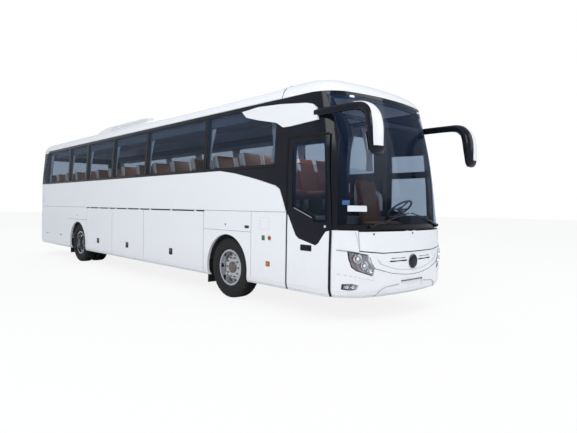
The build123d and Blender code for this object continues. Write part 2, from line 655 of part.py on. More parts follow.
front_rim = wheel_disc(62, 40)
front_rim += revolved([(-70, spindle_radius + running), (-70, hub_radius), (50, hub_radius), (62, hub_radius - 12),
                       (62, spindle_radius + running)])
twin_rim = wheel_disc(-112, -40)
inner_plane = wheel_plane - twin_spacing
rear_hub = revolved([(-260, spindle_radius + running), (-260, hub_radius), (-10, hub_radius), (20, hub_radius - 20),
                     (20, spindle_radius + running)])
for name, side in SIDES.items():
    save(at_wheel(tyre, x_front, side, wheel_plane), f"front_tyre_{name}")
    save(at_wheel(front_rim, x_front, side, wheel_plane), f"front_wheel_{name}")
    twins = [at_wheel(tyre, x_rear, side, wheel_plane), at_wheel(tyre, x_rear, side, inner_plane)]
    save(Compound(children=[t.solid() for t in twins]), f"rear_tyres_{name}")
    outer = at_wheel(twin_rim, x_rear, side, wheel_plane)
    inner = at_wheel(mirrored(twin_rim), x_rear, side, inner_plane)
    rear_wheels = outer + inner + at_wheel(rear_hub, x_rear, side, wheel_plane)
    save(rear_wheels, f"rear_wheels_{name}")

# ---- Front axle, knuckles, rear axle -----------------------------------------------------------------
fist_radius, fist_half = 46, 50
kingpin_radius = 28
spring_radius = 105
front_axle = box(x_front - 45, x_front + 45, -kingpin_plane, kingpin_plane, axle_height - fist_half,
                 axle_height + fist_half - 10)
for side in (RIGHT, LEFT):
    kingpin = Pos(x_front, side * kingpin_plane, axle_height)
    front_axle += kingpin * Cylinder(fist_radius, 2 * fist_half)
    front_axle -= kingpin * Cylinder(kingpin_radius + running, 3 * fist_half)
    base = axle_height + fist_half - 12
    front_axle += Pos(x_front, side * rail_y, (base + rail_low) / 2) * Cylinder(spring_radius, rail_low - base)
save(front_axle, "front_axle")

lug = 30
knuckle_gap = 5
for name, side in SIDES.items():
    kingpin = Pos(x_front, side * kingpin_plane, axle_height)
    reach = fist_half + knuckle_gap + lug
    knuckle = kingpin * Cylinder(kingpin_radius, 2 * reach)
    for up in (1, -1):
        lug_z = up * (fist_half + knuckle_gap + lug / 2)
        knuckle += kingpin * Pos(0, 0, lug_z) * Cylinder(fist_radius, lug)
        knuckle += kingpin * Pos(0, side * 35, lug_z) * Box(2 * fist_radius, 70, lug)
    knuckle += kingpin * Pos(0, side * (fist_radius + 15), 0) * Box(2 * fist_radius, 20, 2 * reach)
    spindle_start = kingpin_plane + fist_radius + 5
    knuckle += rod((x_front, side * spindle_start, axle_height), (x_front, side * (wheel_plane + 55), axle_height),
                   spindle_radius)
    save(knuckle, f"knuckle_{name}")

rear_axle = rod((x_rear, -(inner_plane - 160), axle_height), (x_rear, inner_plane - 160, axle_height), 85)
rear_axle += rod((x_rear, -(wheel_plane + 10), axle_height), (x_rear, wheel_plane + 10, axle_height), spindle_radius)
rear_axle += Pos(x_rear, 0, axle_height) * Sphere(200)
for side in (RIGHT, LEFT):
    base = axle_height + 40
    rear_axle += Pos(x_rear, side * rail_y, (base + rail_low) / 2) * Cylinder(spring_radius, rail_low - base)
rear_axle &= box(x_rear - 300, x_rear + 300, -1400, 1400, 0, rail_low)
save(rear_axle, "rear_axle")

# ---- Passenger seats ---------------------------------------------------------------------------------
seat_pitch = 775
seat_rows = 14
seat_first = from_front(820)                 # front edge of the first row's cushions
aisle_half = 215
seat_width = 445
cushion_depth, cushion_height, cushion_thickness = 430, 450, 120
back_height, back_thickness, back_lean = 750, 95, 17


def seat_back():
    """A seat back about its lower rear edge, leaning rearward, without its place."""
    panel = Box(back_thickness, seat_width - 8, back_height, align=(Align.MIN, Align.CENTER, Align.MIN))
    return Rot(0, -back_lean, 0) * panel


cushions, backs, pans, legs = [], [], [], []
one_back = seat_back()
seat_top = floor_height + cushion_height
pan_z = seat_top - cushion_thickness
pan_depth = 25
for row in range(seat_rows):
    x = seat_first - row * seat_pitch
    for side in (RIGHT, LEFT):
        for place in (0, 1):
            y = side * (aisle_half + (place + 0.5) * seat_width)
            cushion = Pos(x - cushion_depth / 2, y, seat_top - cushion_thickness / 2) * Box(
                cushion_depth, seat_width - 8, cushion_thickness)
            cushions.append(cushion)
            backs.append(Pos(x - cushion_depth - back_thickness - 4, y, pan_z + running) * one_back)
        inner, outer = aisle_half, aisle_half + 2 * seat_width
        pans.append(side_box(side, x - cushion_depth - 115, x - 10, inner, outer, pan_z - pan_depth, pan_z))
        for leg_inner, leg_outer in ((inner + 80, inner + 130), (outer - 120, outer - 80)):
            legs.append(side_box(side, x - 330, x - 130, leg_inner, leg_outer, floor_height, pan_z - pan_depth))
save(Compound(children=cushions), "seat_cushions")
save(Compound(children=backs), "seat_backs")
save(Compound(children=pans), "seat_pans")
save(Compound(children=legs), "seat_legs")

# ---- Driver's place ----------------------------------------------------------------------------------
driver_y = 620
driver_x = from_front(2080)
driver_seat = box(driver_x - 480, driver_x, driver_y - 230, driver_y + 230, cab_floor_height + 330,
                  cab_floor_height + 450)
driver_seat += box(driver_x - 360, driver_x - 100, driver_y - 130, driver_y + 130, cab_floor_height,
                   cab_floor_height + 330)
driver_back = Rot(0, -12, 0) * Box(110, 460, 780, align=(Align.MIN, Align.CENTER, Align.MIN))
driver_seat += Pos(driver_x - 530, driver_y, cab_floor_height + 380) * driver_back
save(driver_seat, "driver_seat")

dash_top = screen_bottom - 20
dash_rear = from_front(2330)
dashboard = (inner_lower & box(dash_rear, x_nose, -1400, 1400, 1120, 1262)) + (
    inner_upper & box(dash_rear, x_nose, -1400, 1400, 1262, dash_top))
dashboard &= box(dash_rear, x_nose - 210, -1400, 1400, 1100, 1400) + box(
    dash_rear, x_nose, -1400, 1400, 1262 + seam, 1400)
dashboard -= box(dash_rear - 10, well_front + 20, -1400, -well_inner, 1000, 1400)
dashboard += box(dash_rear + 40, x_nose - 260, 100, 1000, cab_floor_height, 1130)
save(dashboard, "dashboard")

wheel_centre = Vector(dash_rear - 150, driver_y, 1560)
wheel_tilt = 38
steering_wheel = Rot(0, -wheel_tilt, 0) * (Torus(215, 16) + Cylinder(45, 40) + Box(22, 420, 16) + Pos(105, 0, 0) * Box(
    210, 22, 16))
steering_wheel = Pos(*wheel_centre) * steering_wheel
column = rod(tuple(wheel_centre), (dash_rear + 60, driver_y, 1290), 35)
steering_wheel = (steering_wheel + column) - dashboard
save(steering_wheel, "steering_wheel")

# Luggage racks under the roof, against the side frames.
rack = side_slab(window_frame_depth, 520, from_front(-9000), from_front(900), 2960, 3090)

# A partition behind the driver and one behind the stair well.
partitions = [side_box(side, floor_front - 150, floor_front - 120, aisle_half + 60, inner_side - 20, floor_height, 2250)
              for side in (RIGHT, LEFT)]
save(Compound(children=[rack.solid(), mirrored(rack).solid()] + [p.solid() for p in partitions]), "saloon_fittings")

# Curtains, tied back at each window post.
curtain_thickness = 14
curtains = []
for x in pillar_stations + [glass_front - 90, x_rear_joint + 420]:
    outline = [(x - 120, 2955), (x + 120, 2955), (x + 60, 2500), (x + 75, belt_height + 90),
               (x - 75, belt_height + 90), (x - 60, 2500)]
    slab = side_slab(window_frame_depth, window_frame_depth + curtain_thickness, x - 150, x + 150)
    curtains.append(slab & side_prism(outline))
save(Compound(children=[c.solid() for c in curtains] + [mirrored(c).solid() for c in curtains]), "curtains")

# ---- Entrance door: a leaf carried by a turning post, swinging out and forward, parallel to the side --
seal_room = 14                               # at the top of the front edge, for the rubber seal
LEAF = [(x - seal_room, z) if (x, z) == (door_front - 90, door_top) else (x, z) for x, z in DOOR]
door_outline = side_prism(LEAF, RIGHT)
DOOR_GLASS = [(door_rear + 120, 1575), (door_rear + 530, 1420), (door_rear + 550, 1365), (door_front - 75, 1365),
              (door_front - 85, 1940), (door_front - 130, 2400), (door_front - 150, 2490), (door_rear + 120, 2490)]
GLASS_HOLE = [(door_rear + 150, 1610), (door_rear + 545, 1455), (door_rear + 565, 1400), (door_front - 110, 1400),
              (door_front - 118, 1940), (door_front - 160, 2390), (door_front - 175, 2455), (door_rear + 150, 2455)]
leaf = shell_part(door_outline)
leaf -= side_prism(GLASS_HOLE, RIGHT)
leaf -= side_prism(DOOR_GLASS, RIGHT) - glass_upper
arm_y = -(body_half_width - wall - 85)
arm_length = 420
post_x = door_front - 60
pin_x = post_x - arm_length
ARM_HEIGHTS = (820, 1330)
post_radius, arm_radius, pin_radius = 24, 14, 12
for z in ARM_HEIGHTS:
    for up in (1, -1):
        leaf += box(pin_x - 20, pin_x + 20, -(body_half_width - wall) - 3, arm_y, z + up * 24 - 5, z + up * 24 + 5)
        leaf += Pos(pin_x, arm_y, z + up * 24) * Cylinder(20, 10)
    leaf -= Pos(pin_x, arm_y, z) * Cylinder(pin_radius + running, 120)
save(leaf, "door_leaf")
door_glass = glass_skin & side_prism(DOOR_GLASS, RIGHT)
save(door_glass, "door_glass")

arm = rod((post_x, arm_y, 400 + running), (post_x, arm_y, 1700), post_radius)
for z in ARM_HEIGHTS:
    bends = [(post_x, arm_y, z), (post_x - 30, arm_y + 100, z), (post_x - 220, arm_y + 100, z), (pin_x, arm_y, z)]
    for a, b in zip(bends[:-1], bends[1:]):
        arm += rod(a, b, arm_radius) + Pos(*b) * Sphere(arm_radius)
    arm += Pos(pin_x, arm_y, z) * Cylinder(pin_radius, 58)
save(arm, "door_arm")

# ---- Mirrors, their feet and the white mouldings above the door --------------------------------------
MOULDING = [(from_front(360), 3115), (from_front(790), 3140), (from_front(1310), 3110), (from_front(1860), 3050),
            (from_front(1980), 3020), (from_front(2060), 2960), (from_front(2100), 2785), (from_front(1530), 2752),
            (from_front(1390), 2752), (from_front(1230), 2840), (from_front(790), 2930), (from_front(480), 3010)]
moulding = side_slab(-30, 0, from_front(300), from_front(2150), 2700, band_top) & side_prism(MOULDING)

# A mirror is a horn: a flat oval arm runs forward from the moulding and bends down into a tall head.
mirror_plane = 1245                          # middle of the head, from the coach's middle
head_half = 118
arm_high, arm_deep = 52, 30                  # half axes of the arm's section
ARM_PATH = [(from_front(1980), -1236, 2885), (from_front(2300), -1254, 2890), (from_front(2620), -1254, 2888),
            (x_mirror_tip - 265, -mirror_plane, 2845), (x_mirror_tip - 150, -mirror_plane, 2700)]
HEAD = [(-225, 2800), (-120, 2772), (-62, 2690), (-20, 2500), (0, 2340), (-12, 2255), (-60, 2232), (-110, 2262),
        (-168, 2500), (-225, 2700)]
CAP = [(-180, 2830), (-100, 2830), (40, 2700), (40, 2330), (-30, 2330), (-52, 2400), (-90, 2600), (-128, 2700)]


def head_prism(outline, half):
    return Pos(0, -mirror_plane, 0) * extrude(
        Plane.XZ * make_face(Polyline(*[(x_mirror_tip + x, z) for x, z in outline], close=True)), half, both=True)


head = head_prism(HEAD, head_half)
head = chamfer(head.edges().filter_by(GeomType.LINE).filter_by(lambda e: abs((e % 0).Y) < 0.1), 24)
arm_path = Spline(*ARM_PATH)
arm_start = Plane(origin=ARM_PATH[0], x_dir=(0, 0, 1), z_dir=arm_path % 0)
mirror_arm = sweep(arm_start * Ellipse(arm_high, arm_deep), path=arm_path)
cap_region = head_prism(CAP, head_half + 10)
mirror_cap = head & cap_region
mirror_body = (head - cap_region) + mirror_arm
mirror_body -= outer_upper
mirror_body -= moulding
mirror_body -= cap_region
save_pair(mirror_body, "mirrors")
white_trim = [moulding.solid(), mirror_cap.solid()]
save(Compound(children=white_trim + [mirrored(trim).solid() for trim in white_trim]), "mirror_mouldings")
mirror_glass = head_prism([(-166 - 12, 2540), (-118 - 12, 2290), (-118 - 6, 2290), (-166 - 6, 2540)], 85)
save_pair(mirror_glass - mirror_body, "mirror_glasses")

# ---- Wipers, parked low on the windscreen ------------------------------------------------------------


def screen_point(y, z, proud):
    """A point ahead of the lower windscreen."""
    low, high = UPPER_SECTIONS[0], UPPER_SECTIONS[1]
    back = low[1] + (z - low[0]) / (high[0] - low[0]) * (high[1] - low[1])
    bulge = nose_radius - math.sqrt(nose_radius ** 2 - y ** 2)
    return (x_nose - back - bulge + proud, y, z)


def wiper():
    pivot, elbow, tip = (-850, 1318), (-560, 1392), (-130, 1490)
    arm = rod(screen_point(*pivot, -20), screen_point(*pivot, 42), 22)
    arm += rod(screen_point(*pivot, 32), screen_point(*elbow, 40), 9)
    arm += rod(screen_point(*elbow, 40), screen_point(-400, 1432, 24), 9)
    blade_ends = [(-790, 1338), (-590, 1386), (-380, 1436), (-190, 1476), (-30, 1506)]
    for a, b in zip(blade_ends[:-1], blade_ends[1:]):
        arm += rod(screen_point(*a, 16), screen_point(*b, 16), 8)
    return arm - outer_upper


save_pair(wiper(), "wipers")

# ---- Mud flaps ---------------------------------------------------------------------------------------
flap_depth = (200, sill_height + 260)
panel_face = body_half_width - wall + 3
front_mud_flap = side_box(RIGHT, x_front - arch_radius - 30, x_front - arch_radius - 22, 925, panel_face, *flap_depth)
rear_mud_flap = side_box(RIGHT, x_rear - arch_radius - 60, x_rear - arch_radius - 52, 620, panel_face, *flap_depth)
mud_flaps = [front_mud_flap - front_quarter_right, rear_mud_flap - rear_quarter_right]
mud_flaps = [flap.solids().sort_by(SortBy.VOLUME)[-1] for flap in mud_flaps]
save(Compound(children=mud_flaps + [mirrored(flap).solid() for flap in mud_flaps]), "mud_flaps")
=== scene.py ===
# %% [markdown]
# # Dressing a touring coach
# The solids come in as a fixed frame: every panel, wheel and seat already has its place. This lesson gives
# them a camera, light, paint, glass and rubber, and adds the small things a coach shows when one walks
# round it. Lengths are metres, +X is forward, +Y is the coach's left and +Z is up.

# %% Load the frame
import json
import math
import bmesh
import bpy
from mathutils import Matrix, Vector
from mathutils.bvhtree import BVHTree


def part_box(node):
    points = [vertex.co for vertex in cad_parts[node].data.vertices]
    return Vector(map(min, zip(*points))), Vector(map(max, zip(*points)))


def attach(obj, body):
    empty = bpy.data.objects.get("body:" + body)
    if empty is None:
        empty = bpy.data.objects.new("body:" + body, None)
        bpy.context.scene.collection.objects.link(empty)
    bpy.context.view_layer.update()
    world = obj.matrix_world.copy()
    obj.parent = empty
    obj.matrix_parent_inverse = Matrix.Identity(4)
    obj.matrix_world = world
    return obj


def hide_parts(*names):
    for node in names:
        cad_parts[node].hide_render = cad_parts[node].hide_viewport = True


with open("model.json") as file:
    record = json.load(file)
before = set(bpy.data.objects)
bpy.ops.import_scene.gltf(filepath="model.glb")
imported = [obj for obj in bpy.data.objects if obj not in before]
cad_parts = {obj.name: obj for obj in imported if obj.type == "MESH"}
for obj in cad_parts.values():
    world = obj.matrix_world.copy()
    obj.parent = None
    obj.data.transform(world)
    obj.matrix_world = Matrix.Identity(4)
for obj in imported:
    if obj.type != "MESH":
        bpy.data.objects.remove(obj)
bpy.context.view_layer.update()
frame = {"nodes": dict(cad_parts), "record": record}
nodes = frame["nodes"]
scene = bpy.context.scene

# %% [markdown]
# ## Places that everything else is measured from
# A designer keeps a few stations and reads everything from them. These are the front axle, the rear axle,
# the nose and the tail, and the heights of the belt and of the glass band.

# %% Stations


def middle_x(box):
    return (box[0][0] + box[1][0]) / 2


x_front, x_rear = middle_x(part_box("front_axle")), middle_x(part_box("rear_axle"))
x_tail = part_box("rear_bumper")[0][0]
half_width = 1.275
belt_height = 2.172
band_top = 3.2
posts = (-0.70, -2.99, -4.70, -6.32, -7.65)  # window posts, ahead of the front axle
sides = {"right": -1, "left": 1}
print("front axle", round(x_front, 3), "rear axle", round(x_rear, 3), "tail", round(x_tail, 3))

# %% [markdown]
# ## The camera
# A product shot of a long vehicle is taken with a fairly wide lens from standing height, near the front
# corner. The camera looks almost level, so upright seams stay nearly upright, and it has a slight roll.

# %% Camera
image_width, sensor_width = 577, 36  # pixels of the photo, and mm
azimuth, elevation, roll = (math.radians(a) for a in (47.029, 1.266, 0.822))
focal_in_pixels, shift_in_pixels = 489.729, 1.606
camera_place = (x_front + 6.809, -6.177, 1.565)
camera_data = bpy.data.cameras.new("camera")
camera = bpy.data.objects.new("camera", camera_data)
scene.collection.objects.link(camera)
level = math.cos(elevation)
back = Vector((math.sin(azimuth) * level, -math.cos(azimuth) * level, math.sin(elevation)))
right = (-back).cross(Vector((0, 0, 1))).normalized()
up = right.cross(-back)
rolled_right = right * math.cos(roll) + up * math.sin(roll)
rolled_up = up * math.cos(roll) - right * math.sin(roll)
turn = Matrix((rolled_right, rolled_up, back)).transposed().to_4x4()
camera.matrix_world = Matrix.Translation(camera_place) @ turn
camera_data.sensor_width = sensor_width
camera_data.lens = sensor_width * focal_in_pixels / image_width
camera_data.shift_y = shift_in_pixels / image_width
camera_data.clip_end = 200
scene.camera = camera
scene.view_settings.view_transform = "Standard"
print("lens", round(camera_data.lens, 2), "mm")

# %% [markdown]
# ## A short way to write shaders
# A finish is a tree of nodes. This small class adds a node with its sockets already set or joined, so that
# a finish reads like a recipe.

# %% Shading


class Shading:
    """The node tree of a material or of the world, with short ways to add and join nodes."""

    def __init__(self, owner):
        self.owner, self.nodes, self.links = owner, owner.node_tree.nodes, owner.node_tree.links
        self.main = self.nodes.get("Principled BSDF")

    def feed(self, node, inputs):
        """Sets a node's sockets, or joins them to the outputs given."""
        for key, value in dict(inputs).items():
            if isinstance(value, bpy.types.NodeSocket):
                self.links.new(value, node.inputs[key])
            else:
                node.inputs[key].default_value = value

    def add(self, kind, inputs=(), **settings):
        node = self.nodes.new("ShaderNode" + kind)
        for key, value in settings.items():
            setattr(node, key, value)
        self.feed(node, inputs)
        return node

    def math(self, operation, *values):
        return self.add("Math", enumerate(values), operation=operation).outputs["Value"]

    def part(self, axis):
        """X, Y or Z in the object's own coordinates, in metres."""
        place = self.add("TexCoord").outputs["Object"]
        return self.add("SeparateXYZ", {"Vector": place}).outputs[axis]

    def noise(self, scale, detail):
        place = self.add("TexCoord").outputs["Object"]
        return self.add("TexNoise", {"Vector": place, "Scale": scale, "Detail": detail}).outputs["Fac"]

    def spread(self, value, low, high, low_value, high_value):
        """Maps a value from one range to another."""
        ends = {"Value": value, "From Min": low, "From Max": high, "To Min": low_value, "To Max": high_value}
        return self.add("MapRange", ends).outputs["Result"]

    def between(self, value, low, high):
        """1 between two values, else 0."""
        above, below = self.math("GREATER_THAN", value, low), self.math("LESS_THAN", value, high)
        return self.math("MULTIPLY", above, below)

    def ramp(self, value, first, second, low, high):
        node = self.add("ValToRGB", {"Fac": value})
        for element, position, colour in zip(node.color_ramp.elements, (low, high), (first, second)):
            element.position, element.color = position, (*colour, 1)
        return node.outputs["Color"]

    def blend(self, share, first, second):
        """A colour that turns from the first into the second."""
        return self.add("Mix", {"Factor": share, "A": first, "B": second}, data_type="RGBA").outputs["Result"]

    def show_mix(self, share, first, second, end="Material Output"):
        """Shows a mix of two shaders."""
        mixed = self.add("MixShader", {"Fac": share, 1: first, 2: second}).outputs["Shader"]
        self.feed(self.nodes[end], {"Surface": mixed})

    def bump(self, height, strength, distance):
        relief = self.add("Bump", {"Height": height, "Strength": strength, "Distance": distance})
        self.feed(self.main, {"Normal": relief.outputs["Normal"]})


def new_shading(name, colour, roughness, metallic=0.0, shine=0.5):
    """The shading of a new material, with its main shader set."""
    material = bpy.data.materials.new(name)
    material.use_nodes = True
    look = Shading(material)
    look.feed(look.main, {"Base Color": (*colour, 1), "Roughness": roughness, "Metallic": metallic,
                          "Specular IOR Level": shine})
    return look


print("shading ready")

# %% [markdown]
# ## Floor and light
# The floor is plain and pale, and big soft lamps stand in for an overcast sky. The world is white to the
# camera and through glass, and dimmer as a lamp, so that white paint keeps its shading.

# %% Floor, world and lamps


def seen_directly(look):
    """1 where the camera sees a surface straight or through glass, else 0."""
    rays = look.add("LightPath").outputs
    return look.math("MAXIMUM", rays["Is Camera Ray"], rays["Is Transmission Ray"])


floor_half, floor_glow = 90, 0.86
floor_mesh = bpy.data.meshes.new("floor")
floor_mesh.from_pydata([(x * floor_half, y * floor_half, 0) for x, y in ((-1, -1), (1, -1), (1, 1), (-1, 1))],
                       [], [(0, 1, 2, 3)])
floor = bpy.data.objects.new("floor", floor_mesh)
scene.collection.objects.link(floor)
floor_look = new_shading("floor_paint", (0.86, 0.86, 0.86), 0.9)
glow = floor_look.add("Emission", {"Strength": 1.0}).outputs["Emission"]
floor_look.show_mix(floor_look.math("MULTIPLY", seen_directly(floor_look), floor_glow),
                    floor_look.main.outputs["BSDF"], glow)
floor.data.materials.append(floor_look.owner)

world = bpy.data.worlds.new("studio")
world.use_nodes = True
scene.world = world
sky = Shading(world)
dim = sky.nodes["Background"]
sky.feed(dim, {"Color": (0.86, 0.90, 0.96, 1), "Strength": 0.75})
bright = sky.add("Background", {"Color": (1, 1, 1, 1)})
sky.show_mix(seen_directly(sky), dim.outputs["Background"], bright.outputs["Background"], "World Output")


def soft_lamp(name, place, target, size, power):
    data = bpy.data.lights.new(name, "AREA")
    data.shape, data.size, data.energy = "SQUARE", size, power
    lamp = bpy.data.objects.new(name, data)
    scene.collection.objects.link(lamp)
    lamp.location = place
    lamp.rotation_euler = (Vector(target) - Vector(place)).to_track_quat("-Z", "Y").to_euler()


soft_lamp("key", (10, -14, 13), (0, 0, 1.5), 9, 1500)
soft_lamp("fill", (15, 6, 8), (4, 0, 1.5), 8, 500)
soft_lamp("back", (-16, 10, 10), (0, 0, 1.5), 8, 500)
for number in range(5):
    x = x_front + 0.4 - 2.3 * number
    soft_lamp(f"ceiling_{number}", (x, 0, 2.98), (x, 0, 0), 0.9, 13)
print("lamps:", len(bpy.data.lights))

# %% [markdown]
# ## Paint
# Coach paint is white with a slightly cool cast, glossy under clear lacquer. Real panels are never quite
# even: a faint orange peel breaks the reflections, and a little road dust gathers low down. The dust is a
# mask that grows towards the sill, times a noise.

# %% Paint
dust_colour, black_colour = (0.55, 0.53, 0.50, 1), (0.007, 0.008, 0.013)


def dusty_paint(name, colour, dust_top=0.9):
    look = new_shading(name, colour, 0.22)
    low = look.spread(look.part("Z"), 0.3, dust_top, 1.0, 0.0)
    dust = look.math("MULTIPLY", low, look.spread(look.noise(2.2, 6), 0.2, 0.8, 0.04, 0.16))
    look.feed(look.main, {"Coat Weight": 0.5, "Coat Roughness": 0.06,
                          "Base Color": look.blend(dust, (*colour, 1), dust_colour),
                          "Roughness": look.spread(dust, 0.0, 0.5, 0.2, 0.5)})
    look.bump(look.noise(55, 2), 0.04, 0.002)
    return look.owner


paint_white = dusty_paint("body_paint_white", (0.79, 0.80, 0.82))
paint_roof = dusty_paint("roof_paint_white", (0.84, 0.85, 0.87), 0.3)
print("paint ready")

# %% [markdown]
# The door is glossy black above a sweeping line. A curve node holds the line as height against distance.
# The tail, the rear pillars and the front flap are black between two heights.

# %% Paint that changes colour along a line
door_line = [(1.50, 1.470), (1.53, 1.455), (1.70, 1.165), (1.76, 1.120), (2.10, 1.040), (2.16, 1.080),
             (2.28, 1.240), (2.40, 1.270)]


def above_line(look, line, base):
    """1 where the surface is above a line of (distance ahead of the front axle, height), else 0."""
    first, last = line[0][0], line[-1][0]
    share = look.spread(look.part("X"), x_front + first, x_front + last, 0, 1)
    curve = look.add("FloatCurve", {"Value": share})
    points = curve.mapping.curves[0].points
    for x, z in line[1:-1]:
        points.new((x - first) / (last - first), z - base)
    points[0].location, points[-1].location = (0, line[0][1] - base), (1, line[-1][1] - base)
    for point in points:
        point.handle_type = "VECTOR"
    curve.mapping.update()
    height = look.spread(look.part("Z"), base, base + 1, 0, 1)
    return look.math("GREATER_THAN", height, curve.outputs["Value"])


def between_heights(low, high):
    return lambda look: look.between(look.part("Z"), low, high)


def two_tone(name, mask_of):
    """White paint that turns glossy black where its mask is 1."""
    material = paint_white.copy()
    material.name = name
    look = Shading(material)
    mask = mask_of(look)
    white = look.main.inputs["Base Color"].links[0].from_socket
    look.feed(look.main, {"Base Color": look.blend(mask, white, (*black_colour, 1)),
                          "Specular IOR Level": look.spread(mask, 0, 1, 0.5, 0.18),
                          "Coat Weight": look.spread(mask, 0, 1, 0.5, 0.0)})
    return material


paint_door = two_tone("door_paint", lambda look: above_line(look, door_line, 1.0))
paint_tail = two_tone("tail_paint", between_heights(belt_height + 0.008, 3.14))
paint_flap = two_tone("front_flap_paint", between_heights(1.252, 1.4))
print("paint along lines ready")

# %% [markdown]
# ## Glass
# Side glass is tinted dark, and its edges carry a black printed band that hides the glue. The tint is a
# glossy shader mixed with a clear one, so that the seats behind still show. The band is a mask in the
# glass's own coordinates: near each post, along the belt and along the roof.
# The glass turns from near black to blue towards the top: a painted sky reflection.

# %% Tinted glass


def tinted_glass(name, colours, heights, tint, clearness, bands_x=(), bands_z=(), shine=0.25):
    """Dark glass, bluer at the top as a painted sky reflection, that lets some view through; its opaque bands
    are black.
    """
    look = new_shading(name, colours[0], 0.02, shine=shine)
    clear = look.add("BsdfTransparent", {"Color": (*tint, 1)}).outputs["BSDF"]
    x, z = look.part("X"), look.part("Z")
    masks = [look.between(x, *band) for band in bands_x] + [look.between(z, *band) for band in bands_z]
    # The colour ramp with height is a painted sky reflection, near black low down and blue at the top.
    colour = look.ramp(look.spread(z, *heights, 0, 1), *colours, 0.0, 1.0)
    if masks:
        printed = masks[0]
        for mask in masks[1:]:
            printed = look.math("MAXIMUM", printed, mask)
        clearness = look.spread(printed, 0, 1, clearness, 0)
        colour = look.blend(printed, colour, (0.004, 0.004, 0.006, 1))
    look.feed(look.main, {"Base Color": colour})
    look.show_mix(clearness, look.main.outputs["BSDF"], clear)
    return look.owner


# The glass colours run from near black to a blue that is a painted sky reflection.
dark_to_sky_reflection, lamp_grey = ((0.004, 0.006, 0.010), (0.030, 0.060, 0.125)), ((0.10, 0.10, 0.11), (0.10, 0.10, 0.11))
post_bands = [(x_front + x - 0.045, x_front + x + 0.045) for x in posts]
side_glass = tinted_glass("side_glass_tint", dark_to_sky_reflection, (belt_height, band_top), (0.80, 0.85, 0.90), 0.81,
                          post_bands, [(2.1, belt_height + 0.04), (band_top - 0.06, band_top + 0.1)])
screen_glass = tinted_glass("screen_glass", dark_to_sky_reflection, (1.3, 3.2), (0.84, 0.90, 0.97), 0.84, (),
                            [(1.2, 1.34), (band_top - 0.05, band_top + 0.1)])
door_glass = tinted_glass("door_glass_tint", dark_to_sky_reflection, (1.3, 2.6), (0.84, 0.88, 0.94), 0.86)
lamp_cover = tinted_glass("lamp_cover", lamp_grey, (0, 1), (0.96, 0.96, 0.97), 0.90, shine=0.5)
print("glass ready")

# %% [markdown]
# ## Rubber, metal, plastic, leather and cloth
# Each finish has its own small-scale break-up: a cloudy change of shade, and a grain whose scale and depth
# suit rubber, metal, plastic, leather or cloth. The first finish of a slot is what the frame's nodes wear.

# %% Other finishes
finish_rows = [  # name, slot, colour, roughness, grain scale, grain depth, other settings
    ("gloss_black", "black_trim", black_colour, 0.12, 80, 0.0002, {"shine": 0.18}),
    ("frame_black", "frame_black", (0.02, 0.02, 0.022), 0.5, 120, 0.0005, {}),
    ("tyre_rubber", "tyre_rubber", (0.012, 0.012, 0.013), 0.75, 300, 0.0008, {"vary": 0.3, "shine": 0.3}),
    ("wheel_steel", "wheel_metal", (0.50, 0.51, 0.53), 0.18, 60, 0.0002, {"metallic": 1.0, "vary": 0.06}),
    ("cast_iron", "axle_iron", (0.05, 0.05, 0.052), 0.7, 150, 0.001, {}),
    ("grey_plastic", "grey_plastic", (0.16, 0.165, 0.17), 0.6, 500, 0.0004, {}),
    ("dark_plastic", "grey_plastic", (0.02, 0.02, 0.022), 0.55, 500, 0.0004, {}),
    ("brown_leather", "seat_leather", (0.20, 0.070, 0.030), 0.5, 260, 0.0006, {"vary": 0.25}),
    ("curtain_cloth", "curtain_cloth", (0.60, 0.61, 0.64), 0.95, 700, 0.0005, {}),
    ("red_lamp", "lamp_red", (0.5, 0.01, 0.01), 0.15, 200, 0.0005, {}),
    ("lamp_bowl", "wheel_metal", (0.34, 0.35, 0.37), 0.30, 90, 0.0004, {"metallic": 0.8, "vary": 0.3}),
    ("dark_chrome", "wheel_metal", (0.10, 0.10, 0.11), 0.25, 40, 0.0001, {"metallic": 0.9, "vary": 0.05}),
    ("mirror_face", "mirror_silver", (0.8, 0.8, 0.82), 0.04, 10, 0.0, {"metallic": 1.0, "vary": 0.02}),
    ("seal_rubber", "tyre_rubber", (0.008, 0.008, 0.009), 0.8, 200, 0.0004, {"shine": 0.2}),
    ("seam_shadow", "black_trim", (0.05, 0.05, 0.055), 0.8, 200, 0.0002, {}),
    # soft_line is grey for faint seams, and painted shade where it marks a crease.
    ("soft_line", "grey_plastic", (0.42, 0.43, 0.46), 0.5, 200, 0.0002, {}),
    ("amber_lamp", "lamp_red", (0.52, 0.15, 0.02), 0.18, 200, 0.0004, {}),
    ("red_amber", "grey_plastic", (0.16, 0.022, 0.015), 0.18, 200, 0.0004, {}),
    ("white_lamp", "lamp_clear", (0.80, 0.82, 0.85), 0.12, 200, 0.0004, {}),
    ("chrome", "wheel_metal", (0.75, 0.76, 0.78), 0.12, 40, 0.0001, {"metallic": 1.0, "vary": 0.04}),
    ("sign_green", "body_white", (0.035, 0.12, 0.07), 0.4, 200, 0.0001, {}),
    ("card_white", "body_white", (0.66, 0.69, 0.72), 0.6, 300, 0.0001, {"vary": 0.03}),
    ("card_blue", "body_white", (0.04, 0.11, 0.30), 0.6, 300, 0.0001, {"vary": 0.05}),
    ("hub_iron", "wheel_metal", (0.16, 0.14, 0.13), 0.42, 160, 0.0008, {"metallic": 0.7, "vary": 0.3}),
    ("nut_steel", "wheel_metal", (0.30, 0.25, 0.22), 0.3, 160, 0.0004, {"metallic": 0.9, "vary": 0.3}),
    ("pale_leather", "seat_leather", (0.66, 0.63, 0.58), 0.5, 260, 0.0005, {"vary": 0.06}),
    ("fittings_plastic", "grey_plastic", (0.16, 0.165, 0.17), 0.6, 500, 0.0004, {}),
]


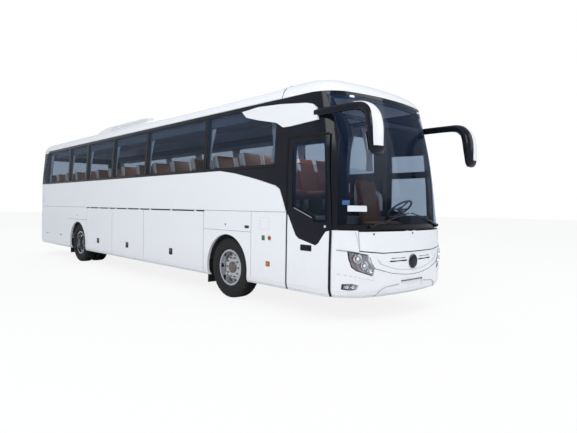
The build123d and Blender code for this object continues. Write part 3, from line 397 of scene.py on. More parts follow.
def grained(name, colour, roughness, grain_scale, grain_depth, metallic=0.0, vary=0.15, shine=0.5):
    """A finish with a cloudy change of shade and a fine grain."""
    look = new_shading(name, colour, roughness, metallic, shine)
    cloud = look.noise(3.0, 5)
    darker = [c * (1 - vary) for c in colour]
    lighter = [min(1, c * (1 + vary)) for c in colour]
    rough = look.spread(cloud, 0.3, 0.7, roughness * 0.85, min(1, roughness * 1.15))
    look.feed(look.main, {"Base Color": look.ramp(cloud, darker, lighter, 0.3, 0.7), "Roughness": rough})
    look.bump(look.noise(grain_scale, 2), 0.3, grain_depth)
    return look.owner


finishes = {"paint_white": paint_white, "paint_roof": paint_roof, "side_glass": side_glass,
            "lamp_cover": lamp_cover}
slots = {"paint_white": "body_white", "paint_roof": "roof_white", "side_glass": "tinted_glass",
         "lamp_cover": "lamp_clear"}
for name, slot, colour, roughness, scale, depth, more in finish_rows:
    finishes[name] = grained(name, colour, roughness, scale, depth, **more)
    slots[name] = slot

# What hides the driver's window from the entrance side is made partly see-through ahead of this line.
fittings = Shading(finishes["fittings_plastic"])
ahead = fittings.between(fittings.part("X"), x_front + 1.0, 99)
fittings.show_mix(fittings.spread(ahead, 0, 1, 0, 0.86), fittings.main.outputs["BSDF"],
                  fittings.add("BsdfTransparent").outputs["BSDF"])

worn = {"engine_iron": finishes["cast_iron"]}
for name, slot in slots.items():
    worn.setdefault(slot, finishes[name])
own_finish = {
    "windscreen": screen_glass, "door_glass": door_glass, "dashboard": finishes["dark_plastic"],
    "door_leaf": paint_door, "rear_wall": paint_tail, "belt_panels": paint_tail, "front_flap": paint_flap,
    "saloon_fittings": finishes["fittings_plastic"],
}
slot_of_node = {part["node"]: part["material_slot"] for part in frame["record"]["subparts"]}
for name, node in nodes.items():
    node.data.materials.clear()
    node.data.materials.append(own_finish.get(name, worn[slot_of_node[name]]))
print("finishes:", len(bpy.data.materials))

# %% [markdown]
# ## Tools for small things
# Seams, lamps and latches sit on curved panels. A ray is sent at the coach from outside, and where it lands
# gives both the place and the direction that faces out. Every small thing is then built on such places.

# %% Tools: places on the skin
bpy.context.view_layer.update()
far, nearer_by = 9.0, 0.002  # where the rays start, and by how much a ray must land sooner to count
nudges = ((0, 0), (0.012, 0), (-0.012, 0), (0, 0.012), (0, -0.012))
skin_starts = (
    "belt_panels", "front_quarters", "rear_quarters", "luggage_flap", "door_leaf", "door_glass",
    "front_bumper", "front_flap", "front_lamps", "windscreen", "rear_wall", "rear_bumper", "engine_hatch",
    "tail_lamps", "body_glass", "cab_frame", "corner_panels", "roof", "air_conditioner")
skin_nodes = [name for name in nodes if name.startswith(skin_starts)]


def tree_over(names):
    """A search tree over the faces of some nodes."""
    points, faces = [], []
    for name in names:
        node = nodes[name]
        start = len(points)
        points += [node.matrix_world @ vertex.co for vertex in node.data.vertices]
        faces += [[start + i for i in polygon.vertices] for polygon in node.data.polygons]
    return BVHTree.FromPolygons(points, faces)


skin = tree_over(skin_nodes)


def landing(start_of, direction):
    """The outermost hit of a few rays side by side, so that a narrow gap is bridged."""
    direction = Vector(direction)
    best = None
    for nudge in nudges:
        hit, normal, index, distance = skin.ray_cast(Vector(start_of(*nudge)), direction)
        if hit is not None and (best is None or distance < best[1] - nearer_by):
            best = (normal, distance)
    if best is None:
        raise ValueError("no skin there")
    normal = best[0] if best[0].dot(direction) < 0 else -best[0]
    return Vector(start_of(0, 0)) + direction * best[1], normal


def on_side(side):
    """Places on the right side (-1) or the left side (1), by distance ahead of the front axle and height."""
    return lambda x, z: landing(lambda a, b: (x_front + x + a, side * far, z + b), (0, -side, 0))


def on_nose(y, z):
    return landing(lambda a, b: (far + 1, y + a, z + b), (-1, 0, 0))


def on_tail(y, z):
    return landing(lambda a, b: (-far - 1, y + a, z + b), (1, 0, 0))


def on_roof(x, y):
    return landing(lambda a, b: (x_front + x + a, y + b, far), (0, 0, -1))


print("skin nodes:", len(skin_nodes))

# %% Tools: forms


class Form:
    """Points and faces gathered for one piece."""

    def __init__(self):
        self.points, self.faces = [], []

    def add(self, points, faces):
        start = len(self.points)
        self.points += [tuple(point) for point in points]
        self.faces += [tuple(start + i for i in face) for face in faces]


def new_forms(count):
    return [Form() for number in range(count)]


def clamp(value):
    return min(1, max(0, value))


def grid_faces(rows, columns, ring=False, loop=False):
    """Quads over points listed row by row; a ring joins the last column to the first, a loop the last row."""
    return [(i * columns + k, i * columns + (k + 1) % columns,
             (i + 1) % rows * columns + (k + 1) % columns, (i + 1) % rows * columns + k)
            for i in range(rows if loop else rows - 1) for k in range(columns if ring else columns - 1)]


sharpest_corner = 0.6  # the cosine at which a bar is widened no more to fill its corner


def strip(form, places, width, height, closed=False, sink=0.003):
    """A thin bar laid on the skin along places; its outer face stands proud by height."""
    count = len(places)
    points = []
    for i, (point, normal) in enumerate(places):
        before = places[i - 1][0] if i or closed else point
        after = places[(i + 1) % count][0] if i + 1 < count or closed else point
        along = (after - before).normalized()
        leg = (after - point if after != point else point - before).normalized()
        across = normal.cross(along).normalized() * (width / 2 / max(sharpest_corner, abs(along.dot(leg))))
        out, low = normal * height, normal * sink
        points += [point + across - low, point + across + out, point - across + out, point - across - low]
    faces = []
    for i in range(count if closed else count - 1):
        a, b = 4 * i, 4 * ((i + 1) % count)
        faces += [(a + k, a + (k + 1) % 4, b + (k + 1) % 4, b + k) for k in range(4)]
    if not closed:
        last = 4 * (count - 1)
        faces += [(3, 2, 1, 0), (last, last + 1, last + 2, last + 3)]
    form.add(points, faces)


def trace(path, place, step=0.06, closed=False):
    """Places along a line of (u, v) points, close enough together to follow the skin."""
    corners = path + path[:1] if closed else path
    found = []
    for (u0, v0), (u1, v1) in zip(corners[:-1], corners[1:]):
        parts = max(1, round(math.dist((u0, v0), (u1, v1)) / step))
        found += [place(u0 + (u1 - u0) * i / parts, v0 + (v1 - v0) * i / parts) for i in range(parts)]
    return found if closed else found + [place(*path[-1])]


def draw(form, place, path, width, height, step=0.06, closed=False):
    """Lays a bar on the skin along a line of (u, v) points."""
    strip(form, trace(path, place, step, closed), width, height, closed)


def plate(form, outline, place, height, sink=0.004):
    """A thin plate on the skin, from its outline."""
    ring = [place(u, v) for u, v in outline]
    count = len(ring)
    middle, out = place(sum(u for u, v in outline) / count, sum(v for u, v in outline) / count)
    points = [p + n * height for p, n in ring] + [p - n * sink for p, n in ring]
    points += [middle + out * height, middle - out * sink]
    faces = []
    for i in range(count):
        j = (i + 1) % count
        faces += [(i, j, 2 * count), (count + j, count + i, 2 * count + 1), (j, i, count + i, count + j)]
    form.add(points, faces)


def rounded(u, v, width, height, radius, corner=4):
    """The outline of a rectangle with round corners, about (u, v)."""
    outline = []
    for k, (su, sv) in enumerate(((1, 1), (-1, 1), (-1, -1), (1, -1))):
        for i in range(corner + 1):
            angle = math.radians(90 * (k + i / corner))
            outline.append((u + su * (width / 2 - radius) + radius * math.cos(angle),
                            v + sv * (height / 2 - radius) + radius * math.sin(angle)))
    return outline


def tile(form, place, u, v, width, height, radius, proud, sink=0.004):
    """A thin plate with round corners on the skin, about (u, v)."""
    plate(form, rounded(u, v, width, height, radius), place, proud, sink)


def turned(form, place, profile, segments=24):
    """A turned form on a place: profile lists (distance out, radius), and closes where the radius is 0."""
    centre, axis = place
    axis = axis.normalized()
    first = axis.orthogonal().normalized()
    second = axis.cross(first)
    points, rings = [], []
    for distance, radius in profile:
        if radius == 0:
            rings.append([len(points)] * segments)
            points.append(centre + axis * distance)
            continue
        rings.append(list(range(len(points), len(points) + segments)))
        for i in range(segments):
            turn = 2 * math.pi * i / segments
            spoke = first * math.cos(turn) + second * math.sin(turn)
            points.append(centre + axis * distance + spoke * radius)
    faces = []
    for low, high in zip(rings[:-1], rings[1:]):
        for i in range(segments):
            j = (i + 1) % segments
            faces.append(list(dict.fromkeys((low[i], low[j], high[j], high[i]))))
    form.add(points, faces)


def block(form, low, high):
    """A plain box between two corners."""
    points = [(x, y, z) for x in (low[0], high[0]) for y in (low[1], high[1]) for z in (low[2], high[2])]
    form.add(points, [(0, 1, 3, 2), (4, 6, 7, 5), (0, 4, 5, 1), (2, 3, 7, 6), (0, 2, 6, 4), (1, 5, 7, 3)])


def piece(name, form, finish, body="coach", smooth_angle=None):
    """Makes an object of a form, turned outward, in a named finish, riding its body."""
    mesh = bpy.data.meshes.new(name)
    mesh.from_pydata(form.points, [], form.faces)
    work = bmesh.new()
    work.from_mesh(mesh)
    bmesh.ops.recalc_face_normals(work, faces=work.faces)
    work.to_mesh(mesh)
    work.free()
    mesh.materials.append(finishes[finish])
    thing = bpy.data.objects.new(name, mesh)
    scene.collection.objects.link(thing)
    if smooth_angle:
        mesh.shade_smooth()
        mesh.set_sharp_from_angle(angle=math.radians(smooth_angle))
    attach(thing, body)
    return thing


def pieces(rows, body="coach", ending=""):
    """Makes a run of pieces from rows of (name, form, finish, smooth angle or None)."""
    for name, form, finish, smooth_angle in rows:
        piece(name + ending, form, finish, body, smooth_angle)


print("tools ready")

# %% [markdown]
# ## The sides
# Service lids are only thin seams in the paint. Each luggage flap carries a latch with an amber reflector,
# and small locks, markers and the filler cap sit in their places. Both sides get the same things.

# %% Seams, locks and markers on the sides
flap_latches = ((1, -1.86), (2, -3.83), (3, -5.49))
lid_seams = ([(-0.69, 1.16), (0.67, 1.16), (0.67, 0.45)], [(-7.60, 1.16), (-6.25, 1.16)],
             [(0.67, 1.16), (0.67, 1.487)])
slim_locks, round_locks, filler, marker = (-8.23, -9.43), (-0.03, -6.95), (1.13, 1.09), (1.09, 0.69)
filler_ring = [(-0.002, 0), (-0.002, 0.052), (0.004, 0.052), (0.006, 0.046), (0.004, 0.040), (0.004, 0)]
filler_cap = [(0.003, 0), (0.003, 0.036), (0.012, 0.034), (0.014, 0.026), (0.014, 0)]
filler_lock = [(0.010, 0), (0.010, 0.020), (0.017, 0.018), (0.019, 0.010), (0.019, 0)]
lid_lock = [(-0.002, 0), (-0.002, 0.016), (0.003, 0.016), (0.004, 0.012), (0.004, 0)]
for name, side in sides.items():
    place = on_side(side)
    seams, soft_lines, locks, bezels, ambers, ring, patch, cap, centre, sign = new_forms(10)
    for path in lid_seams:
        draw(seams, place, path, 0.005, 0.0006)
    draw(soft_lines, place, rounded(1.00, 1.305, 0.22, 0.19, 0.02), 0.003, 0.0008, closed=True)
    draw(soft_lines, place, [(-8.75, 0.42), (-8.75, 1.48)], 0.004, 0.0006)
    for x in slim_locks:
        tile(locks, place, x, 0.675, 0.110, 0.024, 0.006, 0.004)
    for x in round_locks:
        turned(locks, place(x, 1.26), lid_lock, 16)
    tile(locks, place, 0.56, 1.24, 0.11, 0.045, 0.008, 0.003)
    turned(ring, place(*filler), filler_ring, 32)
    tile(bezels, place, *marker, 0.090, 0.075, 0.010, 0.006)
    tile(ambers, place, *marker, 0.074, 0.060, 0.008, 0.012)
    tile(patch, place, -9.80, 1.70, 0.14, 0.20, 0.01, 0.001)
    turned(cap, place(*filler), filler_cap, 24)
    turned(centre, place(*filler), filler_lock, 20)
    tile(sign, place, 0.975, 1.085, 0.075, 0.075, 0.006, 0.0012)
    pieces((("lid_seams_", seams, "seam_shadow", None), ("lid_lines_", soft_lines, "soft_line", None),
            ("locks_", locks, "dark_plastic", 40), ("marker_bezels_", bezels, "dark_plastic", 40),
            ("side_markers_", ambers, "amber_lamp", 40), ("filler_ring_", ring, "paint_white", 40),
            ("blank_patch_", patch, "card_white", None), ("filler_cap_", cap, "amber_lamp", 40),
            ("filler_lock_", centre, "dark_plastic", 40), ("blank_sign_", sign, "sign_green", None)),
           ending=name)
    for index, x in flap_latches:
        bezel, handle, amber = new_forms(3)
        tile(bezel, place, x, 0.66, 0.125, 0.125, 0.014, 0.006)
        tile(handle, place, x, 0.632, 0.085, 0.040, 0.008, 0.011)
        tile(amber, place, x, 0.688, 0.085, 0.036, 0.006, 0.011)
        pieces((("latch_bezel_", bezel, "dark_plastic", 40), ("latch_handle_", handle, "gloss_black", 40),
                ("latch_reflector_", amber, "red_amber", 40)),
               f"luggage_flap_{name}_{index}", f"{name}_{index}")
print("side details done")

# %% [markdown]
# ## The entrance door
# The upper part of the door is glossy black and runs on from the glass band; the paint starts below a
# sweeping line. Rubber seals stand along both upright edges. A handle and a lock sit outside.

# %% Door seals, handle and lock
place = on_side(-1)
seals, handle, knob, edge_line = new_forms(4)
draw(seals, place, [(1.511, 0.36), (1.511, 2.56)], 0.020, 0.004)
draw(seals, place, [(2.352, 0.36), (2.352, 1.262), (2.266, 2.42)], 0.032, 0.004)
draw(seals, place, [(1.52, 2.585), (2.262, 2.585)], 0.030, 0.004)
tile(handle, place, 1.915, 0.995, 0.22, 0.085, 0.012, 0.005)
tile(handle, place, 1.915, 0.985, 0.15, 0.030, 0.010, 0.016)
turned(knob, place(2.27, 1.31), [(-0.002, 0), (-0.002, 0.02), (0.008, 0.018), (0.010, 0.012), (0.010, 0)], 20)
draw(edge_line, place, [(1.66, 1.560), (2.02, 1.425)], 0.008, 0.003)
pieces((("door_seals", seals, "seal_rubber", None), ("door_handle", handle, "gloss_black", 40),
        ("door_lock", knob, "chrome", 40), ("door_glass_edge", edge_line, "chrome", None)), "entrance_door")
print("door done")

# %% [markdown]
# ## The nose
# Lines draw a wide shield on the nose, with two slots on each side of a round badge place that stays bare.
# Seams mark the bumper's segments. The number plate's recess stays empty.

# %% Nose seams, slots and badge place


def both_ways(points):
    """A line across the nose from its right half."""
    return points + [(-y, z) for y, z in points[::-1] if y]


def on_half(side, *points):
    """Points of the left half of the nose (1), or the same ones on the right half (-1)."""
    return [(side * y, z) for y, z in points]


shield = [(-0.87, 0.905), (-0.84, 0.82), (-0.78, 0.745), (-0.47, 0.665), (-0.2, 0.632), (0, 0.622)]
shield_edge = [(-0.74, 0.87), (-0.67, 0.80), (-0.41, 0.725), (-0.2, 0.70), (0, 0.692)]
washer = [(-0.002, 0), (-0.002, 0.013), (0.008, 0.011), (0.012, 0.006), (0.013, 0)]
badge_rim = [(-0.040, 0), (-0.040, 0.100), (0.004, 0.104), (0.012, 0.102), (0.015, 0.096), (0.012, 0.090),
             (0.004, 0.088), (0.004, 0)]
badge_disc = [(0.000, 0), (0.000, 0.0875), (0.007, 0.0875), (0.010, 0.080), (0.012, 0.050), (0.0125, 0)]
seams, soft_lines, black, rim, disc = new_forms(5)
draw(seams, on_nose, both_ways(shield), 0.007, 0.0008, 0.04)
# The grey line along the shield's edge is painted shade of its crease.
draw(soft_lines, on_nose, both_ways(shield_edge), 0.006, 0.003, 0.04)
for side in (-1, 1):
    lamp_seam = on_half(side, (1.225, 1.000), (1.11, 0.985), (1.015, 0.965))
    corner_seam = on_half(side, (1.05, 1.252), (1.02, 1.10), (1.005, 0.975))
    # The grey line over the plate recess is painted shade of its crease.
    plate_crease = on_half(side, (0.75, 0.362), (0.69, 0.44), (0.59, 0.482), (0.31, 0.505))
    dashes = trace(on_half(side, (1.225, 0.680), (1.00, 0.630), (0.81, 0.585)), on_nose, 0.026)
    draw(seams, on_nose, lamp_seam, 0.006, 0.0008, 0.04)
    draw(soft_lines, on_nose, corner_seam, 0.004, 0.0008)
    draw(soft_lines, on_nose, plate_crease, 0.012, 0.006)
    for first in range(0, len(dashes) - 1, 2):
        strip(soft_lines, dashes[first:first + 2], 0.005, 0.0008)
    tile(black, on_nose, side * 0.33, 0.832, 0.36, 0.022, 0.008, 0.003)
    tile(black, on_nose, side * 0.33, 0.872, 0.30, 0.010, 0.004, 0.002)
draw(black, on_nose, [(-0.27, 0.545), (0.27, 0.545)], 0.010, 0.012)
for y in (-0.78, 0.03):
    turned(black, on_nose(y, 1.215), washer, 20)
badge = (on_nose(0, 0.810)[0], Vector((1, 0, 0)))
turned(rim, badge, badge_rim, 64)
turned(disc, badge, badge_disc, 64)
pieces((("nose_seams", seams, "seam_shadow", None), ("nose_lines", soft_lines, "soft_line", None),
        ("nose_slots", black, "dark_plastic", 40), ("badge_rim", rim, "dark_chrome", 40),
        ("badge_place", disc, "gloss_black", 40)))
print("nose done")

# %% [markdown]
# ## Lamps
# A headlamp is a clear cover with dark bowls, bright reflectors and a strip of small lamps behind it. The
# solid from the frame is the cover; the inside is added just behind its face.

# %% Headlamps and fog lamps
lamp_sink, fog_sink, day_lamps, turn_lamps = -0.016, -0.006, 7, 6
lamp_rounds = ((1.03, 0.885, 0.062), (0.945, 0.79, 0.056), (0.865, 0.715, 0.040))
lamp_back = ((1.125, 0.972), (0.897, 0.930), (0.875, 0.842), (0.795, 0.748), (0.818, 0.655), (0.94, 0.695),
             (1.045, 0.734), (1.093, 0.775), (1.12, 0.88))
fog_back = ((1.178, 0.478), (1.172, 0.540), (1.09, 0.546), (1.03, 0.526), (1.042, 0.474), (1.11, 0.464))
fog_radius = 0.024
fog_profile = [(-0.020, 0), (0.000, fog_radius), (0.003, fog_radius * 1.08), (-0.022, fog_radius * 1.1),
               (-0.022, 0)]


def deeper(place, depth):
    point, normal = place
    return point + normal * depth, Vector((0.97, normal.y * 0.24, 0)).normalized()


for name, side in sides.items():
    bowls, bright, dark, ambers, marks = new_forms(5)
    for y, z, radius in lamp_rounds:
        spot = deeper(on_nose(side * y, z), lamp_sink)
        turned(bright, spot, [(-0.020, 0), (-0.022, radius * 0.5), (0.004, radius), (0.008, radius * 1.06),
                              (0.002, radius * 1.1), (-0.024, radius * 1.1), (-0.024, 0)], 32)
        turned(bowls, spot, [(-0.008, 0), (-0.008, radius * 0.42), (0.004, radius * 0.36),
                             (0.010, radius * 0.2), (0.011, 0)], 24)
    plate(dark, on_half(side, *lamp_back), on_nose, -0.028, 0.036)
    for k in range(day_lamps):
        y, z = side * (1.088 - 0.034 * k), 0.950 - 0.0065 * k
        tile(bright, on_nose, y, z, 0.022, 0.012, 0.003, -0.010, 0.020)
    for k in range(turn_lamps):
        y, z = side * (1.098 - 0.013 * k), 0.90 - 0.030 * k
        tile(ambers, on_nose, y + side * 0.002, z, 0.010, 0.022, 0.003, -0.010, 0.020)
    for y in (1.145, 1.085):
        turned(bright, deeper(on_nose(side * y, 0.506), fog_sink), fog_profile, 24)
    plate(dark, on_half(side, *fog_back), on_nose, -0.030, 0.034)
    tile(marks, on_nose, side * 0.84, 3.13, 0.075, 0.030, 0.010, 0.012)
    pieces((("lamp_backs_", dark, "lamp_bowl", None), ("lamp_reflectors_", bright, "chrome", 40),
            ("lamp_lenses_", bowls, "white_lamp", 40), ("turn_lamps_", ambers, "amber_lamp", None),
            ("top_marker_", marks, "white_lamp", 40)), ending=name)
print("lamps done")

# %% [markdown]
# ## The tail
# The hatch over the engine has rows of slats so that hot air can leave. The tail lamps have a red face
# with round reflectors; a plain white panel fills the number plate's place.

# %% Tail details
slats, reds, ambers, plate_form = new_forms(4)
slat_count, lowest_slat, slat_pitch, slat_half = 16, 0.96, 0.030, 0.70
lamp_rows = ((1.33, 0.055, ambers), (1.19, 0.060, reds), (1.045, 0.055, reds), (0.95, 0.040, ambers))
for k in range(slat_count):
    z = lowest_slat + slat_pitch * k
    draw(slats, on_tail, [(-slat_half, z), (slat_half, z)], 0.016, 0.010, 0.1)
piece("hatch_slats", slats, "dark_plastic", "engine_hatch")
for side in (-1, 1):
    for z, radius, form in lamp_rows:
        dome = [(-0.002, 0), (-0.002, radius), (0.006, radius), (0.010, radius * 0.85), (0.014, radius * 0.4),
                (0.015, 0)]
        turned(form, on_tail(side * 1.075, z), dome, 28)
    tile(reds, on_tail, side * 0.90, 0.50, 0.16, 0.05, 0.012, 0.006)
    tile(reds, on_tail, side * 0.95, 3.12, 0.075, 0.030, 0.010, 0.012)
draw(reds, on_tail, [(-0.16, 3.13), (0.16, 3.13)], 0.030, 0.012)
block(plate_form, (x_tail + 0.014, -0.26, 0.645), (x_tail + 0.0195, 0.26, 0.755))
pieces((("tail_reds", reds, "red_lamp", 40), ("tail_ambers", ambers, "amber_lamp", 40),
        ("rear_blank_plate", plate_form, "paint_white", None)))
print("tail done")

# %% [markdown]
# ## The roof
# The cooling unit has intake slats on both slopes and two round fan covers on top. The hatches get ribs, and
# a thin dark line marks the joint of the moulded roof front.

# %% Roof details
slats, fans, joint_line = new_forms(3)
roof_joint = 1.306
slat_count, first_slat, slat_pitch = 24, -5.95, 0.085
fan_rings, fan_radius, ring_pitch = 5, 0.30, 0.055
for side in (-1, 1):
    for k in range(slat_count):
        x = first_slat + slat_pitch * k
        draw(slats, on_roof, [(x, side * 0.70), (x, side * 0.775)], 0.030, 0.006, 0.03)
for x in (-5.85, -4.95):
    for k in range(fan_rings):
        radius = fan_radius - ring_pitch * k
        outer, inner = radius + 0.010, radius - 0.008
        ring = [(-0.004, outer), (0.004, outer), (0.004, inner), (-0.004, inner), (-0.004, outer)]
        turned(fans, on_roof(x, 0), ring, 40)
pieces((("cooler_slats", slats, "paint_roof", None), ("fan_covers", fans, "grey_plastic", None)))
for name, x in (("front", -1.30), ("rear", -8.00)):
    ribs = Form()
    for y in (-0.2, -0.1, 0, 0.1, 0.2):
        draw(ribs, on_roof, [(x - 0.26, y), (x + 0.26, y)], 0.020, 0.006)
    piece(f"hatch_ribs_{name}", ribs, "paint_roof", f"roof_hatch_{name}")
for name, side in sides.items():
    gutter = Form()
    draw(gutter, on_side(side), [(-9.9, 3.213), (1.28, 3.213)], 0.012, 0.006, 0.3)
    piece(f"gutter_{name}", gutter, "paint_roof")
draw(joint_line, on_roof, [(roof_joint, -1.05), (roof_joint, 1.05)], 0.008, 0.001, 0.05)
for side in (-1, 1):
    draw(joint_line, on_side(side), [(roof_joint, 3.190), (roof_joint, 3.370)], 0.008, 0.001, 0.02)
piece("roof_joint", joint_line, "seam_shadow")
print("roof done")

# %% [markdown]
# ## Mirrors
# Each mirror hangs on a horn: an oval arm runs forward from the moulding, bends down and widens into the
# head. The horn is lofted through oval sections along a curve. Its front wears a white cap, and its outer
# side stays black. The white mouldings come from the frame, cut off where the horn runs into them.

# %% Mirror horns
horn_sections = [  # distance ahead of the front axle, height, half size along the curve's normal, half width
    (2.020, 2.886, 0.050, 0.030), (2.300, 2.890, 0.052, 0.030), (2.600, 2.890, 0.052, 0.032),
    (2.760, 2.884, 0.054, 0.040), (2.870, 2.860, 0.064, 0.066), (2.955, 2.805, 0.078, 0.098),
    (3.012, 2.722, 0.090, 0.124), (3.042, 2.620, 0.094, 0.136), (3.058, 2.510, 0.088, 0.141),
    (3.071, 2.400, 0.075, 0.140), (3.078, 2.320, 0.068, 0.132), (3.076, 2.272, 0.050, 0.116),
    (3.068, 2.246, 0.022, 0.090)]
horn_plane, boxy, ring_count = 1.236, 0.84, 28
cap_start, cap_low, cap_columns, cap_proud = 2.70, 2.335, 17, 0.004
head_start, head_flatness, moulding_end = 2.95, 0.8, 2.25


def smooth_path(rows, parts):
    """Rows of numbers, filled in between with a soft curve through them all."""
    filled = []
    for i in range(len(rows) - 1):
        before, a, b, after = rows[max(0, i - 1)], rows[i], rows[i + 1], rows[min(len(rows) - 1, i + 2)]
        for step in range(parts):
            t = step / parts
            filled.append([0.5 * (2 * q + (r - p) * t + (2 * p - 5 * q + 4 * r - u) * t ** 2
                                  + (3 * q - p - 3 * r + u) * t ** 3)
                           for p, q, r, u in zip(before, a, b, after)])
    return filled + [list(rows[-1])]


rows = smooth_path(horn_sections, 4)


def horn_point(i, angle, side, grow=0.0):
    """A point on the horn's oval section i; angle 0 faces forward and up, 90 degrees faces outward."""
    x, z, deep, wide = rows[i]
    ahead, behind = rows[min(i + 1, len(rows) - 1)], rows[max(i - 1, 0)]
    along = Vector((ahead[0] - behind[0], 0, ahead[1] - behind[1])).normalized()
    normal = Vector((-along.z, 0, along.x))
    c, s = math.cos(angle), math.sin(angle)
    c, s = math.copysign(abs(c) ** boxy, c), math.copysign(abs(s) ** boxy, s)
    plane = horn_plane + 0.010 * clamp((x - 2.0) / 0.6) - 0.030 * clamp((x - 2.7) / 0.3)
    centre = Vector((x_front + x, side * plane, z))
    flatter = head_flatness if c < 0 and x > head_start else 1.0
    return centre + normal * (deep * flatter + grow) * c + Vector((0, side, 0)) * (wide + grow) * s


def cap_angle(row, column):
    """The angle at a column of the white cap, which reaches further round the head than round the arm."""
    start, end = -12, 36 + 22 * clamp((2.886 - row[1]) / 0.20)
    return math.radians(start + (end - start) * column / (cap_columns - 1))


for name, side in sides.items():
    horn, cap = new_forms(2)
    ring = [2 * math.pi * k / ring_count for k in range(ring_count)]
    points = [horn_point(i, angle, side) for i in range(len(rows)) for angle in ring]
    end = len(points)
    points += [Vector((x_front + rows[0][0], side * horn_plane, rows[0][1])),
               Vector((x_front + rows[-1][0], side * (horn_plane + 0.010), rows[-1][1] - 0.010))]
    faces = grid_faces(len(rows), ring_count, ring=True)
    for k in range(ring_count):
        following = (k + 1) % ring_count
        faces += [(end, following, k), (end + 1, end - ring_count + k, end - ring_count + following)]
    horn.add(points, faces)
    cap_rows = [i for i, row in enumerate(rows) if row[0] > cap_start and row[1] >= cap_low]
    cap_spots = [(i, cap_angle(rows[i], column)) for i in cap_rows for column in range(cap_columns)]
    points = [horn_point(i, angle, side, grow) for grow in (cap_proud, -cap_proud) for i, angle in cap_spots]
    size, last_row = len(cap_spots), len(cap_spots) - cap_columns
    faces = grid_faces(len(cap_rows), cap_columns)
    faces += [tuple(size + corner for corner in face[::-1]) for face in faces]
    border = list(range(cap_columns)) + list(range(2 * cap_columns - 1, size, cap_columns))
    border += list(range(size - 2, last_row - 1, -1)) + list(range(last_row - cap_columns, 0, -cap_columns))
    for here, there in zip(border, border[1:] + border[:1]):
        faces.append((here, there, size + there, size + here))
    cap.add(points, faces)
    horn_piece = piece(f"mirror_horn_{name}", horn, "gloss_black", "coach", 60)
    piece(f"mirror_cap_{name}", cap, "paint_white", "coach", 60)
    if name == "right":
        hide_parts("mirrors")

mouldings = Form()
source = nodes["mirror_mouldings"]
kept = [polygon for polygon in source.data.polygons
        if (source.matrix_world @ polygon.center).x < x_front + moulding_end]
used = sorted({index for polygon in kept for index in polygon.vertices})
new_index = {index: number for number, index in enumerate(used)}
mouldings.add([source.matrix_world @ source.data.vertices[index].co for index in used],
              [tuple(new_index[index] for index in polygon.vertices) for polygon in kept])
moulding_piece = piece("mirror_mouldings_shown", mouldings, "paint_white", "coach", 30)
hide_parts("mirror_mouldings")
print("mirrors:", len(rows), "sections")

# %% [markdown]
# ## Tyres and wheels
# A coach tyre has four straight grooves, small cuts across its shoulders and ribs near the bead. One tyre is
# turned from its profile with those grooves cut in, and is then set at each of the six places. Wheel nuts
# are one nut repeated round a ring by Geometry Nodes.

# %% Tyres
axle_height, wheel_plane, twin_spacing = 0.520, 1.072, 0.335
steps_round, cut_depth, steps_per_cut = 160, 0.007, 4
half_profile = [(0.0, 0.5195), (0.010, 0.5195), (0.011, 0.508), (0.021, 0.508), (0.022, 0.5193),
                (0.054, 0.5185), (0.055, 0.507), (0.065, 0.507), (0.066, 0.5180), (0.098, 0.5160),
                (0.121, 0.5065), (0.135, 0.486), (0.1415, 0.462), (0.1440, 0.447), (0.1462, 0.445),
                (0.1470, 0.420), (0.1470, 0.396), (0.1440, 0.372), (0.1392, 0.350), (0.1405, 0.346),
                (0.1300, 0.330), (0.1040, 0.309), (0.0880, 0.2935)]
profile = [(-y, r) for y, r in half_profile[:0:-1]] + half_profile
middle_of_profile = len(half_profile) - 1
shoulder = (9, 10, 11)  # how far from the middle of the profile the cuts across reach


def tyre_form(form, x, plane):
    """One tyre about its axle at (x, plane)."""
    points = []
    for step in range(steps_round):
        turn = 2 * math.pi * step / steps_round
        for index, (y, radius) in enumerate(profile):
            cut = step % steps_per_cut == 0 and abs(index - middle_of_profile) in shoulder
            reach = radius - (cut_depth if cut else 0)
            points.append((x + reach * math.sin(turn), plane + y, axle_height + reach * math.cos(turn)))
    form.add(points, grid_faces(steps_round, len(profile), ring=True, loop=True))


tyre_sets = {}
for name, side in sides.items():
    tyre_sets[f"front_tyre_{name}"] = [(x_front, side * wheel_plane)]
    twin_planes = (wheel_plane, wheel_plane - twin_spacing)
    tyre_sets[f"rear_tyres_{name}"] = [(x_rear, side * plane) for plane in twin_planes]
for node_name, places in tyre_sets.items():
    form = Form()
    for x, plane in places:
        tyre_form(form, x, plane)
    body = node_name.replace("tyres", "wheels").replace("tyre", "wheel")
    tyre = piece(f"treaded_{node_name}", form, "tyre_rubber", body, 28)
    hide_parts(node_name)
print("tyres:", len(tyre_sets), "pieces, the twins of", len(form.faces), "faces")

# %% Wheel nuts by Geometry Nodes


def ring_group():
    """A node group that sets copies of one small mesh round an axle that lies along Y."""
    group = bpy.data.node_groups.new("ring_of_copies", "GeometryNodeTree")
    given = (("Geometry", "Geometry"), ("Count", "Int"), ("Radius", "Float"), ("Finish", "Material"))
    for label, kind in given:
        group.interface.new_socket(label, in_out="INPUT", socket_type="NodeSocket" + kind)
    group.interface.new_socket("Geometry", in_out="OUTPUT", socket_type="NodeSocketGeometry")
    kinds = ("NodeGroupInput", "NodeGroupOutput", "GeometryNodeMeshCircle", "GeometryNodeTransform",
             "GeometryNodeInstanceOnPoints", "GeometryNodeRealizeInstances", "GeometryNodeSetMaterial")
    source, result, circle, stand, copies, real, paint = (group.nodes.new(kind) for kind in kinds)
    stand.inputs["Rotation"].default_value = (math.pi / 2, 0, 0)
    for giver, output, taker, socket in (
            (source, "Count", circle, "Vertices"), (source, "Radius", circle, "Radius"),
            (circle, "Mesh", stand, "Geometry"), (stand, "Geometry", copies, "Points"),
            (source, "Geometry", copies, "Instance"), (copies, "Instances", real, "Geometry"),
            (real, "Geometry", paint, "Geometry"), (source, "Finish", paint, "Material"),
            (paint, "Geometry", result, "Geometry")):
        group.links.new(giver.outputs[output], taker.inputs[socket])
    return group


